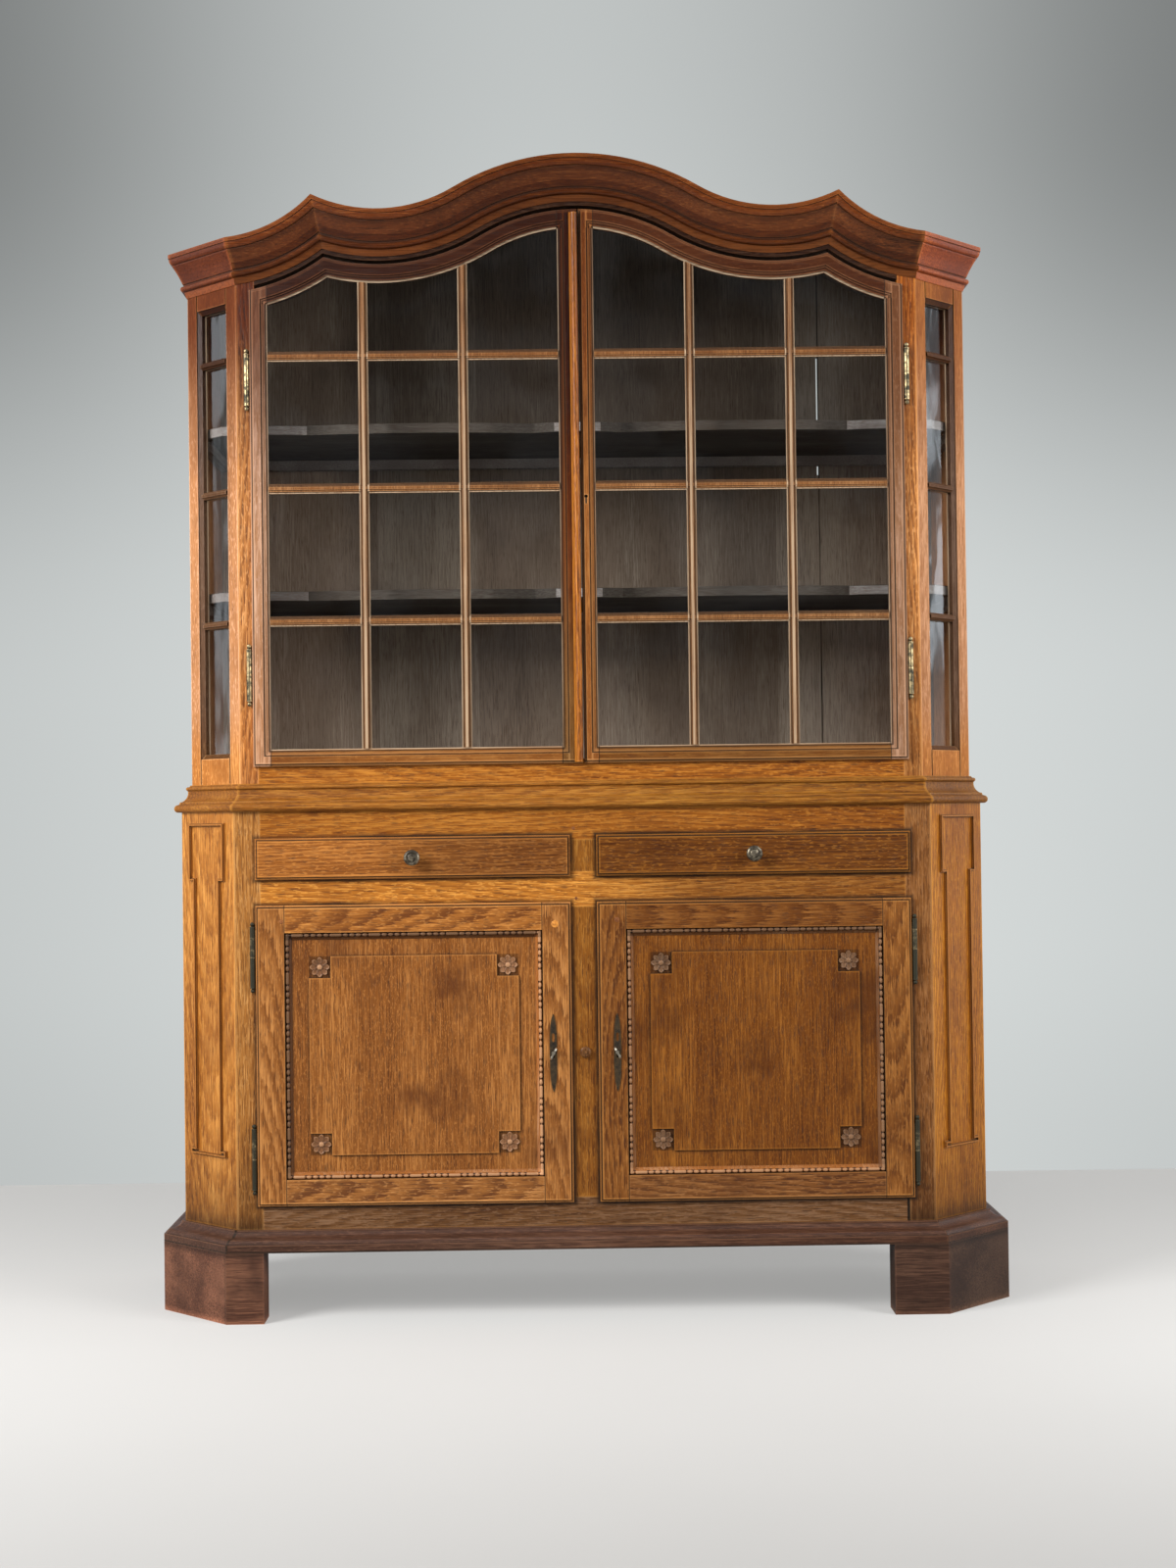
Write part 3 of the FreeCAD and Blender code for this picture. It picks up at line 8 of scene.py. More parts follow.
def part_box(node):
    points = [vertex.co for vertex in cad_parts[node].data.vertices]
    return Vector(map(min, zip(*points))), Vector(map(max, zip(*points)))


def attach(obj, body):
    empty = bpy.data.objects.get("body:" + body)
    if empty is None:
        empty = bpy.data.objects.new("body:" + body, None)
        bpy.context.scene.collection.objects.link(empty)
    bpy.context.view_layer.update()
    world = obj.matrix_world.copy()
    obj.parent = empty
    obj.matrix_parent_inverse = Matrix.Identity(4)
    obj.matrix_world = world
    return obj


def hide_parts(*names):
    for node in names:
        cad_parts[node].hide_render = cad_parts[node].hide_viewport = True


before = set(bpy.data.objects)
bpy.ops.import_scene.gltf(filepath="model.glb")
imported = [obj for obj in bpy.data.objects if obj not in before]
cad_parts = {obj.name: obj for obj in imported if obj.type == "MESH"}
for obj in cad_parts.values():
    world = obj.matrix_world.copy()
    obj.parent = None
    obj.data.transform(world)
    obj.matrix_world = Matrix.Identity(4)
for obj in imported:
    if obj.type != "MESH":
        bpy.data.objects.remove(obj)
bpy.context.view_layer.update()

bl_info = {
    "name": "Oak display cabinet",
    "version": (1, 0, 0),
    "blender": (4, 5, 0),
    "location": "3D View > Sidebar > Cabinet",
    "description": "Dresses the cabinet's frame with oak, glass, metal and carved trim",
    "category": "Object",
}

SIDES = (("left", -1.0), ("right", 1.0))

# Colours
WHITE = (1.0, 1.0, 1.0)
# Near black for dirt and dark joints, and for painted shade in hollows, grooves and round the doors
BLACK_DIRT_AND_SHADE = (0.016, 0.009, 0.005, 1.0)
PORE_BROWN = (0.040, 0.015, 0.005, 1.0)
# Cream of the putty, also used as painted highlight on the glazing bars
PUTTY_AND_HIGHLIGHT = (0.52, 0.38, 0.25, 1.0)
TONE_PARTS = ("dark", "mid", "light")

# Places in the frame's axes that the paint follows, in metres
FAR = 9.0  # past every piece
SKIN = 0.001  # keeps a limit clear of the next face
ON_LEFT = ("x", -0.9, 0.0)
ON_RIGHT = ("x", 0.0, 0.9)
CORNER_SUM = 0.846  # x without its sign, less y, on the faces of the corner lights
MITRE_SLOPE = math.tan(math.radians(22.5))
PLINTH_MITRE = 0.5942  # x without its sign, plus y times MITRE_SLOPE, along the plinth's front mitres
SASH_FLAT = -0.185  # y of the pale line under the arched rails
SIGHT_LOW = 1.972  # tops of the glazed doors' openings, at the hinges and at the middle
SIGHT_HIGH = 2.115
DARKENING = (1.56, 1.97)  # heights over which the upper case darkens
SHELF_UNDERSIDES = (1.399, 1.729)
LIGHT_JOINT = 0.5195  # x of the joint of the back boards that has opened
BEAD_SHADOW = 0.008  # width of the dark line beside the meeting bead
BAR_WIDTH = 0.019
BAR_ROWS = (1.3515, 1.6105, 1.8694)
NOTCH_HALF = 0.021
ROSETTE_IN = 0.067

# Painted lines: distance from the edge or middle that they follow, and half their width.
# Grooves are painted shade; lip edges and sash ridges wear with painted highlight; bar ridges putty
# with painted highlight; the bar crest a painted highlight; sash putty and joints their own colour.
LINE_CORE = 0.4  # share of the half width at full strength
LIP_GROOVE = (0.0036, 0.0019)
LIP_EDGE = (0.0004, 0.0023)
LIP_INNER = (0.0065, 0.0015)
SASH_GROOVE = (0.0042, 0.0017)
SASH_QUIRK = (0.0128, 0.0014)
SASH_RIDGE = (0.0090, 0.0020)
SASH_PUTTY = (0.0006, 0.0019)
ROW_RIDGE = (-0.0086, 0.0016)
ROW_GROOVE = (0.0070, 0.0045)
BAR_GROOVE = (0.0058, 0.0015)
BAR_RIDGE = (0.0087, 0.0018)
BAR_CREST = (0.0, 0.0040)
BAR_REACH = 0.0098  # how far an upright bar covers the rows' lines
JOINT_HALF = 0.0013

# How a seed and a board's chance move the figure
SEED_SHIFT = 0.37
SEED_RUN = 1.13
SEED_CHANCE = 7.31
BOARD_SPREAD = 0.4
BOARD_RUN = 3.0
FRAME_SHIFT = -0.05
FRAME_SPREAD = 0.10

# Width and length of the broad bands, of the warp and of the flecks, and where the heart line runs
BROAD_SIZE = (0.09, 0.7)
WARP_SIZE = (0.30, 1.1)
WARP = 0.10
FLECK_WIDTH = 0.0032
FLECK_LENGTH = 0.011
HEART_REACH = 0.19
HEART_DEPTH = 0.24
LEAN_RUN = 1.3
LEAN = 0.11
RING_WAVE = 1.1
STAIN_SCALE = 6.0

# How much each part of the figure moves the tone
MEAN_TONE = 0.64
STREAK_TONE = 1.2
BROAD_TONE = 1.1
FINE_TONE = 1.6
BOARD_TONE = 0.30
LATE_TONE = 0.42

# Ramps: the values where each begins and ends, and the shares there if they aren't 0 and 1
DARK_TONES = (-0.05, 0.5)
LIGHT_TONES = (0.5, 1.15)
PORES = (0.57, 0.68)
LATE_WOOD = (0.25, 0.96)
FLECKS = (0.57, 0.66)
STAINS = (0.50, 0.72)
# Rubbed relief and edges: wear with painted highlight; dirty relief and grime: dirt with painted shade
RUBBED_AND_HIGHLIT_RELIEF = (0.45, 0.85, 0.0, 0.9)
DIRTY_AND_SHADED_RELIEF = (0.36, 0.10, 0.0, 0.95)
RUBBED_AND_HIGHLIT = (0.10, 0.42)
RUBBED_AND_HIGHLIT_STREAKS = (0.30, 0.62, 0.5, 1.0)
GRIME_AND_SHADE = (0.06, 0.58)
GRIME_AND_SHADE_STAINS = (0.25, 0.6, 0.75, 1.0)
PATCHES = (0.35, 0.60, 0.45, 1.0)
# Painted highlight down the upright bars, fading towards the top
CREST_FADE = (1.70, 1.95, 0.75, 0.15)
# Outline ramps: a line of dirt and painted shadow round the doors and drawers
OUTLINE_OUT = (0.010, 0.0)
OUTLINE_IN = (-0.004, -0.002)
OUTLINE_STAINS = (0.30, 0.60, 0.55, 1.0)

# Strengths of paint layers: the groove shares paint shade, the ridge and inner lip shares wear and painted
# highlight
PORE_SHARE = 0.60
RUB_AND_HIGHLIGHT_GAMMA = 0.6
GROOVE_SHARE = 0.75
LIP_INNER_SHARE = 0.7
SASH_RIDGE_SHARE = 0.6
SASH_PUTTY_SHARE = 0.9
BAR_GROOVE_SHARE = 0.65
BAR_RIDGE_SHARE = 0.85
JOINT_SHARE = 0.8

# How figure, and the dirt and painted shade in hollows, change the oak's roughness and relief
ROUGH_STREAKS = 0.18
ROUGH_PORES = 0.18
ROUGH_GRIME_AND_SHADE = 0.25
RAISED_STREAKS = 0.5
SUNK_PORES = -0.9
SUNK_LATE_WOOD = -0.25
GRAIN_BUMP = 0.35
GRAIN_HEIGHT = 0.0005

# Worn metal: noise scale, detail and roughness, reach of wear and dirt, and ramps
METAL_PATCHES = (90.0, 4.0, 0.6)
METAL_SPECKS = (900.0, 2.0)
METAL_HEIGHTS = (0.9, 1.1)
METAL_WEAR_REACH = 0.0022
METAL_DIRT_REACH = 0.006
METAL_DIRT = (0.10, 0.7)
METAL_COVER = (0.82, 1.18)
METAL_SPECK_SHARE = (0.45, 0.75, 0.0, 0.35)
METAL_BODY = (0.0, 1.0, 1.0, 0.55)
METAL_BUMP = (0.20, 0.0004)

# Glass: tint, refraction, and stretch, noise and relief of its waves
GLASS_TINT = (0.93, 0.95, 0.94, 1.0)
GLASS_REFRACTION = 1.45
WAVE_STRETCH = 0.45
WAVES = (9.0, 2.0)
WAVE_BUMP = (0.12, 0.003)

# Settings of the unfinished boards inside
RAW = dict(wear_and_highlight=0.0, dirt_and_shade=0.0, figure=0.0, crisp=0.6, flecks=0.0, gloss=0.85, shine=0.03)

# Floor: its edges, its clouds, and ramps of its glow along y and x
FLOOR_HALF_WIDTH = 6.0
FLOOR_FRONT = -7.0
FLOOR_BACK = 1.45
FLOOR_CLOUDS = (1.3, 3.0)
CLOUD_SHARE = (0.3, 0.7, 0.0, 0.5)
CLOUD_TONE = 0.96
GLOW_TINT = (1.0, 0.995, 0.975, 1.0)
GLOW_IN_FRONT = (-2.4, -0.4, 0.0, 1.0)
GLOW_BEHIND = (-0.5, 1.2, 1.0, 0.75)
GLOW_ON_RIGHT = (0.5, 1.4, 1.0, 1.2)

# Backdrop and the dim room that glass and metal mirror: tints, and ramps over parts of a ray's direction
EVEN_LIGHT = (1.0, 0.985, 0.96, 1.0)
CORNER_BESIDE = (0.0, 0.30)
CORNER_UP = (0.05, 0.30, 0.0, 0.60)
WALL_UP = (0.10, 0.36, 1.0, 0.82)
WALL_BESIDE = (0.10, 0.30, 1.0, 0.86)
WALL_RIGHT = (0.02, 0.25, 1.0, 1.1)
WALL_FOOT = (-0.16, -0.05, 0.92, 1.0)
ROOM_TINT = (0.92, 1.0, 1.08, 1.0)
ROOM_FRONT = (-0.90, -0.05, 0.05, 1.5)
ROOM_BACK = (0.15, 0.55, 1.0, 0.2)
ROOM_RIGHT = (-1.0, 1.0, 0.75, 1.6)
ROOM_STRETCH = 5.0
ROOM_NOISE = (22.0, 2.0)
ROOM_STREAKS = (0.42, 0.62, 0.25, 1.9)

# Lamps, and the camera fitted to the photo's corners: place, then yaw, pitch and roll in degrees
LAMP_TARGET = (0.0, 0.0, 1.05)
KEY_PLACE = (-3.3, -2.7, 2.9)
KEY_SIZE = 1.8
FILL_PLACE = (3.4, -2.5, 2.5)
FILL_SIZE = 2.2
CAMERA_PLACE = (-0.0415, -4.5023, 0.9598)
CAMERA_ANGLES = (0.703, 0.9, -0.712)
SENSOR_WIDTH = 36.0
CLIP_END = 60.0


def colour(label, text, value):
    """A colour a user may change."""
    return bpy.props.FloatVectorProperty(name=label, description=text, subtype="COLOR", size=3,
                                         min=0.0, max=1.0, default=value)


def length(label, text, value):
    """A length in metres a user may change."""
    return bpy.props.FloatProperty(name=label, description=text, subtype="DISTANCE", unit="LENGTH",
                                   min=0.0, default=value)


def factor(label, text, value, top=1.0):
    """A plain share or strength a user may change."""
    return bpy.props.FloatProperty(name=label, description=text, min=0.0, max=top, default=value)


class OakTones(bpy.types.PropertyGroup):
    """Dark, middle and light tone of each oak finish; the light ones also paint highlights."""
    gold_dark: colour("Golden oak, dark", "Late wood of rails and stiles", (0.150, 0.040, 0.005))
    gold_mid: colour("Golden oak", "Main tone of rails and stiles", (0.345, 0.113, 0.013))
    gold_light: colour("Golden oak, light", "Early wood and worn edges", (0.620, 0.260, 0.052))
    russet_dark: colour("Russet oak, dark", "Late wood of doors and drawers", (0.098, 0.027, 0.005))
    russet_mid: colour("Russet oak", "Main tone of doors and drawers", (0.232, 0.075, 0.012))
    russet_light: colour("Russet oak, light", "Flecks and worn edges", (0.480, 0.195, 0.048))
    brown_dark: colour("Brown oak, dark", "Late wood of the upper case", (0.108, 0.034, 0.010))
    brown_mid: colour("Brown oak", "Main tone of the upper case", (0.262, 0.096, 0.029))
    brown_light: colour("Brown oak, light", "Early wood and worn edges", (0.520, 0.255, 0.120))
    dark_dark: colour("Dark oak, dark", "Late wood of the cornice", (0.028, 0.0075, 0.0025))
    dark_mid: colour("Dark oak", "Main tone of the cornice", (0.088, 0.022, 0.0055))
    dark_light: colour("Dark oak, light", "Worn edges of the cornice", (0.300, 0.108, 0.034))
    black_dark: colour("Stained oak, dark", "Hollows of feet and plinth", (0.030, 0.013, 0.008))
    black_mid: colour("Stained oak", "Main tone of feet and plinth", (0.076, 0.032, 0.019))
    black_light: colour("Stained oak, light", "Worn edges of feet and plinth", (0.210, 0.100, 0.058))
    inside_dark: colour("Raw boards, dark", "Late wood of the inside", (0.072, 0.057, 0.051))
    inside_mid: colour("Raw boards", "Main tone of the inside", (0.132, 0.108, 0.096))
    inside_light: colour("Raw boards, light", "Early wood of the inside", (0.218, 0.194, 0.180))
    carved_dark: colour("Rosettes, dark", "Grooves of the rosettes", (0.022, 0.011, 0.006))
    carved_mid: colour("Rosettes", "Main tone of the rosettes", (0.150, 0.064, 0.026))
    carved_light: colour("Rosettes, light", "Rubbed rims of the rosettes", (0.360, 0.190, 0.095))


class OakGrain(bpy.types.PropertyGroup):
    """How the oak's figure runs."""
    ring_pitch: length("Ring pitch", "Distance between growth rings", 0.0078)
    fibre_width: length("Fibre width", "Width of the fine streaks", 0.0034)
    fibre_length: length("Fibre length", "Length of the fine streaks", 0.15)
    pore_width: length("Pore width", "Width of the dark pores", 0.0013)
    pore_length: length("Pore length", "Length of the dark pores", 0.022)
    # Reach of the darkening in inner corners: dirt, and painted shade where less light reaches
    dirt_and_shade_reach: length("Dirt reach", "How far dirt fills an inner corner", 0.012)
    # Reach of the lightening at outer edges: wear, and painted highlight where edges catch the light
    wear_and_highlight_reach: length("Wear reach", "How far an outer edge is worn", 0.0045)


class TrimSizes(bpy.types.PropertyGroup):
    """Carved trim of the lower doors."""
    strip_width: length("Strip width", "Width of the bead strips", 0.014)
    bead_radius: length("Bead radius", "Radius of the beads", 0.0036)
    pearl_pitch: length("Pearl pitch", "Distance between two pearls", 0.0125)
    pattern_pitch: length("Pattern pitch", "Four pearls and one reed", 0.075)
    ring_step: length("Grid step", "Distance of the grid lines along a strip", 0.001)
    rosette_radius: length("Rosette radius", "Radius of the corner rosettes", 0.020)
    rosette_height: length("Rosette height", "Height of the corner rosettes", 0.0052)


class StageSettings(bpy.types.PropertyGroup):
    """Floor, backdrop, lamps and camera."""
    floor: colour("Floor", "Colour of the floor", (0.405, 0.40, 0.39))
    floor_glow: factor("Floor glow", "Even light of the floor as the camera sees it", 0.33)
    wall: colour("Backdrop", "Colour of the backdrop", (0.635, 0.665, 0.66))
    key_power: factor("Key lamp", "Power of the soft lamp on the left, in watts", 250.0, 2000.0)
    fill_power: factor("Fill lamp", "Power of the soft lamp on the right, in watts", 130.0, 2000.0)
    sky: factor("Sky", "Strength of the even light all round", 0.36, 5.0)
    lens: factor("Lens", "Focal length of the camera in millimetres", 50.85, 500.0)


class Tree:
    """Short ways to add shader nodes to a new material or world."""

    def __init__(self, owner):
        owner.use_nodes = True
        self.owner = owner
        self.nodes = owner.node_tree.nodes
        self.links = owner.node_tree.links
        self.nodes.clear()

    def add(self, kind, **settings):
        node = self.nodes.new(kind)
        for key, value in settings.items():
            setattr(node, key, value)
        return node

    def put(self, socket, value):
        if isinstance(value, bpy.types.NodeSocket):
            self.links.new(value, socket)
        else:
            socket.default_value = value

    def fill(self, node, *values):
        """Puts values in a node's first sockets."""
        for socket, value in zip(node.inputs, values):
            self.put(socket, value)
        return node.outputs[0]

    def math(self, operation, first, second=0.0, clamp=False):
        return self.fill(self.add("ShaderNodeMath", operation=operation, use_clamp=clamp), first, second)

    def plus(self, first, *others):
        for other in others:
            first = self.math("ADD", first, other)
        return first

    def times(self, first, *others):
        for other in others:
            first = self.math("MULTIPLY", first, other)
        return first

    def minus(self, first, second):
        return self.math("SUBTRACT", first, second)

    def least(self, first, second):
        return self.math("MINIMUM", first, second)

    def most(self, first, second):
        return self.math("MAXIMUM", first, second)

    def above(self, value, limit):
        """1 where value is over limit, else 0."""
        return self.math("GREATER_THAN", value, limit)

    def size(self, value):
        return self.math("ABSOLUTE", value)

    def swing(self, value, amount):
        """A noise value from 0 to 1 as a swing about zero."""
        return self.times(self.minus(value, 0.5), amount)

    def ramp(self, value, low, high, start=0.0, end=1.0):
        node = self.add("ShaderNodeMapRange", interpolation_type="SMOOTHSTEP")
        return self.fill(node, value, low, high, start, end)

    def between(self, value, low, high):
        """1 where value lies between low and high, else 0."""
        return self.times(self.above(value, low), self.math("LESS_THAN", value, high))

    def vector(self, x, y, z):
        return self.fill(self.add("ShaderNodeCombineXYZ"), x, y, z)

    def noise(self, place, scale=1.0, detail=2.0, roughness=0.5):
        node = self.add("ShaderNodeTexNoise")
        for key, value in (("Vector", place), ("Scale", scale), ("Detail", detail), ("Roughness", roughness)):
            self.put(node.inputs[key], value)
        return node.outputs[0]

    def board_noise(self, number):
        node = self.add("ShaderNodeTexWhiteNoise", noise_dimensions="1D")
        self.put(node.inputs["W"], number)
        return node.outputs["Value"]

    def blend(self, share, first, second, mode="MIX"):
        """Mixes two colours; the indices are those of the mix node's colour sockets."""
        node = self.add("ShaderNodeMix", data_type="RGBA", blend_type=mode)
        for index, value in ((0, share), (6, first), (7, second)):
            self.put(node.inputs[index], value)
        return node.outputs[2]

    def hollow(self, reach, inside=False):
        """0 on open faces, rising in inner corners, or at outer edges with inside set."""
        node = self.add("ShaderNodeAmbientOcclusion", samples=6, only_local=True, inside=inside)
        self.put(node.inputs["Distance"], reach)
        return self.math("SUBTRACT", 1.0, node.outputs["AO"], clamp=True)

    def gamma(self, paint, power):
        return self.fill(self.add("ShaderNodeGamma"), paint, power)

    def place(self, kind="Object"):
        """Object coordinates, or another kind, and their three parts."""
        whole = self.add("ShaderNodeTexCoord").outputs[kind]
        parts = self.add("ShaderNodeSeparateXYZ")
        self.put(parts.inputs[0], whole)
        return whole, *parts.outputs

    def bump(self, height, strength, distance):
        node = self.add("ShaderNodeBump")
        for key, value in (("Strength", strength), ("Distance", distance), ("Height", height)):
            self.put(node.inputs[key], value)
        return node.outputs[0]

    def principled(self, **sockets):
        """A Principled shader; underscores in the names stand for spaces."""
        node = self.add("ShaderNodeBsdfPrincipled")
        for key, value in sockets.items():
            self.put(node.inputs[key.replace("_", " ")], value)
        return node.outputs[0]

    def choose(self, share, first, second):
        """Mixes two shaders."""
        return self.fill(self.add("ShaderNodeMixShader"), share, first, second)

    def output(self, shader, kind="ShaderNodeOutputMaterial"):
        self.put(self.add(kind).inputs[0], shader)
        return self.owner


def shader_tree(name):
    """Nodes of a new material."""
    return Tree(bpy.data.materials.new(name))


def opaque(rgb, strength=1.0):
    """A colour with its alpha, scaled by a strength or by one strength for each part."""
    strengths = strength if isinstance(strength, tuple) else (strength,) * 3
    return tuple(part * scale for part, scale in zip(rgb, strengths)) + (1.0,)


def oak(name, tones, run, seed, tint=1.0, zone=None, outer=None, boards=None, shades=(), fades=(), lips=(),
        dirt_and_shadow_outlines=(), sights=(), bars=None, lines=(), relief=False, figure=1.0, crisp=1.0, stains=0.45,
        flecks=0.35, fleck_size=1.0, wear_and_highlight=0.6, dirt_and_shade=0.85, gloss=0.40, shine=0.22, reach=1.0):
    """Oak as a solid figure: rings round a leaning heart line, fibre streaks, pores, flecks, dirt and wear,
    with painted shade in hollows and grooves and painted highlights on edges and ridges.

    run gives the grain: up, across, deep, or frame, where zone is the opening inside the rectangle outer.
    boards is the width of separate boards. shades are (limits, strength) with limits of (axis, low, high),
    and fades are (axis, low, high, strength low, strength high), with limits after them if they have any;
    axis v is the depth behind a canted corner and m runs across the mitres. Some shades and fades paint
    light and shade. lines are (axis, middle, half width, colour, limits). lips and dirt_and_shadow_outlines
    are rectangles (x0, x1, z0, z1): the first have a moulded edge inside them, painted as a groove of shade
    between lines of wear and painted highlight, the second a line of dirt and painted shadow round them.
    sights are openings (x0, x1, z0, left top, right top) with the lines of a sash moulding round them:
    painted shade in its grooves, wear and painted highlight on its ridge, and putty. bars are the columns
    and rows of a lattice, with painted shade in their grooves, putty and painted highlight on their ridges,
    and a painted highlight down each upright. relief rubs what the mesh's relief attribute says is high, as
    wear and painted highlight, and darkens what is low, as dirt and painted shade. figure scales the rings,
    crisp the fibres, reach how far dirt, wear and their painted shade and highlights go.
    """
    grain = bpy.context.scene.oak_grain
    tree = shader_tree(name)
    whole, x, y, z = tree.place()
    behind = tree.plus(tree.minus(y, tree.size(x)), CORNER_SUM)
    across_mitre = tree.plus(tree.size(x), tree.times(y, MITRE_SLOPE))
    axes = {"x": x, "y": y, "z": z, "v": tree.times(behind, math.sqrt(0.5)), "m": across_mitre}
    board = 0.0
    shift = seed * SEED_SHIFT
    spread = BOARD_SPREAD
    if run == "up":
        along, across, depth = z, x, y
    elif run == "across":
        along, across, depth = x, z, y
    elif run == "deep":
        along, across, depth = y, x, z
    else:
        left, right, low, top = ((inner + edge) / 2.0 for inner, edge in zip(zone, outer))
        rail = tree.between(x, zone[0], zone[1])
        on_right = tree.above(x, (left + right) / 2.0)
        on_top = tree.above(z, (low + top) / 2.0)
        along = tree.plus(z, tree.times(rail, tree.minus(x, z)))
        from_stile = tree.minus(x, tree.plus(tree.times(on_right, right - left), left))
        from_rail = tree.minus(z, tree.plus(tree.times(on_top, top - low), low))
        across = tree.plus(from_stile, tree.times(rail, tree.minus(from_rail, from_stile)))
        depth = y
        rail_number = tree.times(rail, tree.plus(on_top, 2.0))
        board = tree.plus(rail_number, tree.times(tree.minus(1.0, rail), on_right))
        shift = FRAME_SHIFT
        spread = FRAME_SPREAD
    if boards:
        board = tree.math("FLOOR", tree.math("DIVIDE", x, boards))
    chance = tree.board_noise(tree.plus(board, seed * SEED_CHANCE + 0.5))
    across = tree.plus(across, shift, tree.times(chance, spread))
    along = tree.plus(along, seed * SEED_RUN, tree.times(chance, BOARD_RUN))

    def fibres(width, run_length, detail):
        wide = 1.0 / width
        long = 1.0 / run_length
        place = tree.vector(tree.times(across, wide), tree.times(depth, wide), tree.times(along, long))
        return tree.noise(place, 1.0, detail)

    def inset(rectangle):
        x0, x1, z0, z1 = rectangle
        beside = tree.least(tree.minus(x, x0), tree.minus(x1, x))
        above = tree.least(tree.minus(z, z0), tree.minus(z1, z))
        return tree.least(beside, above)

    def within(limits):
        inside = 1.0
        for axis, low, high in limits:
            inside = tree.times(tree.between(axes[axis], low, high), inside)
        return inside

    def line(value, middle, half):
        return tree.ramp(tree.size(tree.minus(value, middle)), half, half * LINE_CORE)

    streak = fibres(grain.fibre_width, grain.fibre_length, 3.0)
    fine = fibres(grain.pore_width, grain.pore_length * 2.0, 1.0)
    broad = fibres(*BROAD_SIZE, 2.0)
    pore = tree.ramp(fibres(grain.pore_width, grain.pore_length, 1.0), *PORES)
    warp = tree.swing(fibres(*WARP_SIZE, 2.0), WARP)
    heart_across = tree.plus(tree.math("PINGPONG", across, HEART_REACH), warp)
    lean = tree.times(tree.math("PINGPONG", along, LEAN_RUN), LEAN)
    heart_depth = tree.plus(depth, HEART_DEPTH, lean)
    squares = tree.plus(tree.times(heart_across, heart_across), tree.times(heart_depth, heart_depth))
    rings = tree.math("DIVIDE", tree.math("SQRT", squares), grain.ring_pitch)
    turn = tree.plus(rings, tree.swing(streak, RING_WAVE))
    late = tree.times(tree.ramp(tree.math("FRACT", turn), *LATE_WOOD), figure)
    stain = tree.noise(whole, STAIN_SCALE, 4.0, 0.6)
    tone = tree.plus(MEAN_TONE, tree.swing(streak, STREAK_TONE * crisp), tree.swing(broad, BROAD_TONE),
                     tree.swing(fine, FINE_TONE * crisp), tree.swing(chance, BOARD_TONE))
    tone = tree.minus(tone, tree.times(late, LATE_TONE))
    dark, mid, light = (opaque(rgb, tint) for rgb in tones)
    paint = tree.blend(tree.ramp(tone, *DARK_TONES), dark, mid)
    paint = tree.blend(tree.ramp(tone, *LIGHT_TONES), paint, light)
    ray = fibres(FLECK_WIDTH * fleck_size, FLECK_LENGTH * fleck_size, 1.0)
    paint = tree.blend(tree.ramp(ray, *FLECKS, 0.0, flecks), paint, light)
    paint = tree.blend(tree.times(pore, PORE_SHARE * crisp), paint, PORE_BROWN)
    paint = tree.blend(tree.ramp(stain, *STAINS, 0.0, stains), paint, dark)
    # High relief lighter, wear with a painted highlight; low relief darker, dirt with painted shade
    if relief:
        rise = tree.add("ShaderNodeAttribute", attribute_name="relief").outputs["Fac"]
        paint = tree.blend(tree.ramp(rise, *RUBBED_AND_HIGHLIT_RELIEF), paint, light)
        paint = tree.blend(tree.ramp(rise, *DIRTY_AND_SHADED_RELIEF), paint, BLACK_DIRT_AND_SHADE)
    # Shades and fades: the tones of parts, and in places painted light and shade
    shade = opaque(WHITE)
    for limits, strength in shades:
        shade = tree.blend(within(limits), shade, opaque(WHITE, strength), "MULTIPLY")
    for axis, low, high, first, last, *limits in fades:
        fade = tree.blend(tree.ramp(axes[axis], low, high), opaque(WHITE, first), opaque(WHITE, last))
        shade = tree.blend(within(limits), shade, fade, "MULTIPLY")
    paint = tree.blend(1.0, paint, shade, "MULTIPLY")
    # Colour for wear and painted highlights, shaded less than the paint
    rub_and_highlight = tree.blend(1.0, light, tree.gamma(shade, RUB_AND_HIGHLIGHT_GAMMA), "MULTIPLY")
    hollow_darkening = 0.0
    # Outer edges lighter: wear, and a painted highlight where edges catch the light
    if wear_and_highlight > 0.0:
        rubbed_and_highlit = tree.hollow(grain.wear_and_highlight_reach * reach, inside=True)
        rubbed_and_highlit = tree.times(tree.ramp(rubbed_and_highlit, *RUBBED_AND_HIGHLIT), tree.ramp(streak, *RUBBED_AND_HIGHLIT_STREAKS))
        paint = tree.blend(tree.times(rubbed_and_highlit, wear_and_highlight), paint, rub_and_highlight)
    # Inner corners and hollows darker: dirt, and painted shade where less light reaches
    if dirt_and_shade > 0.0:
        hollow_darkening = tree.hollow(grain.dirt_and_shade_reach * reach)
        hollow_darkening = tree.times(tree.ramp(hollow_darkening, *GRIME_AND_SHADE), tree.ramp(stain, *GRIME_AND_SHADE_STAINS))
        paint = tree.blend(tree.times(hollow_darkening, dirt_and_shade), paint, BLACK_DIRT_AND_SHADE)
    patchy = tree.ramp(streak, *PATCHES)
    # Moulded lips: a dark groove of painted shade between lines of wear and painted highlight
    for rectangle in lips:
        edge = inset(rectangle)
        paint = tree.blend(tree.times(line(edge, *LIP_GROOVE), GROOVE_SHARE), paint, BLACK_DIRT_AND_SHADE)
        worn_and_highlit = tree.most(line(edge, *LIP_EDGE), tree.times(line(edge, *LIP_INNER), LIP_INNER_SHARE))
        paint = tree.blend(tree.times(worn_and_highlit, patchy), paint, rub_and_highlight)
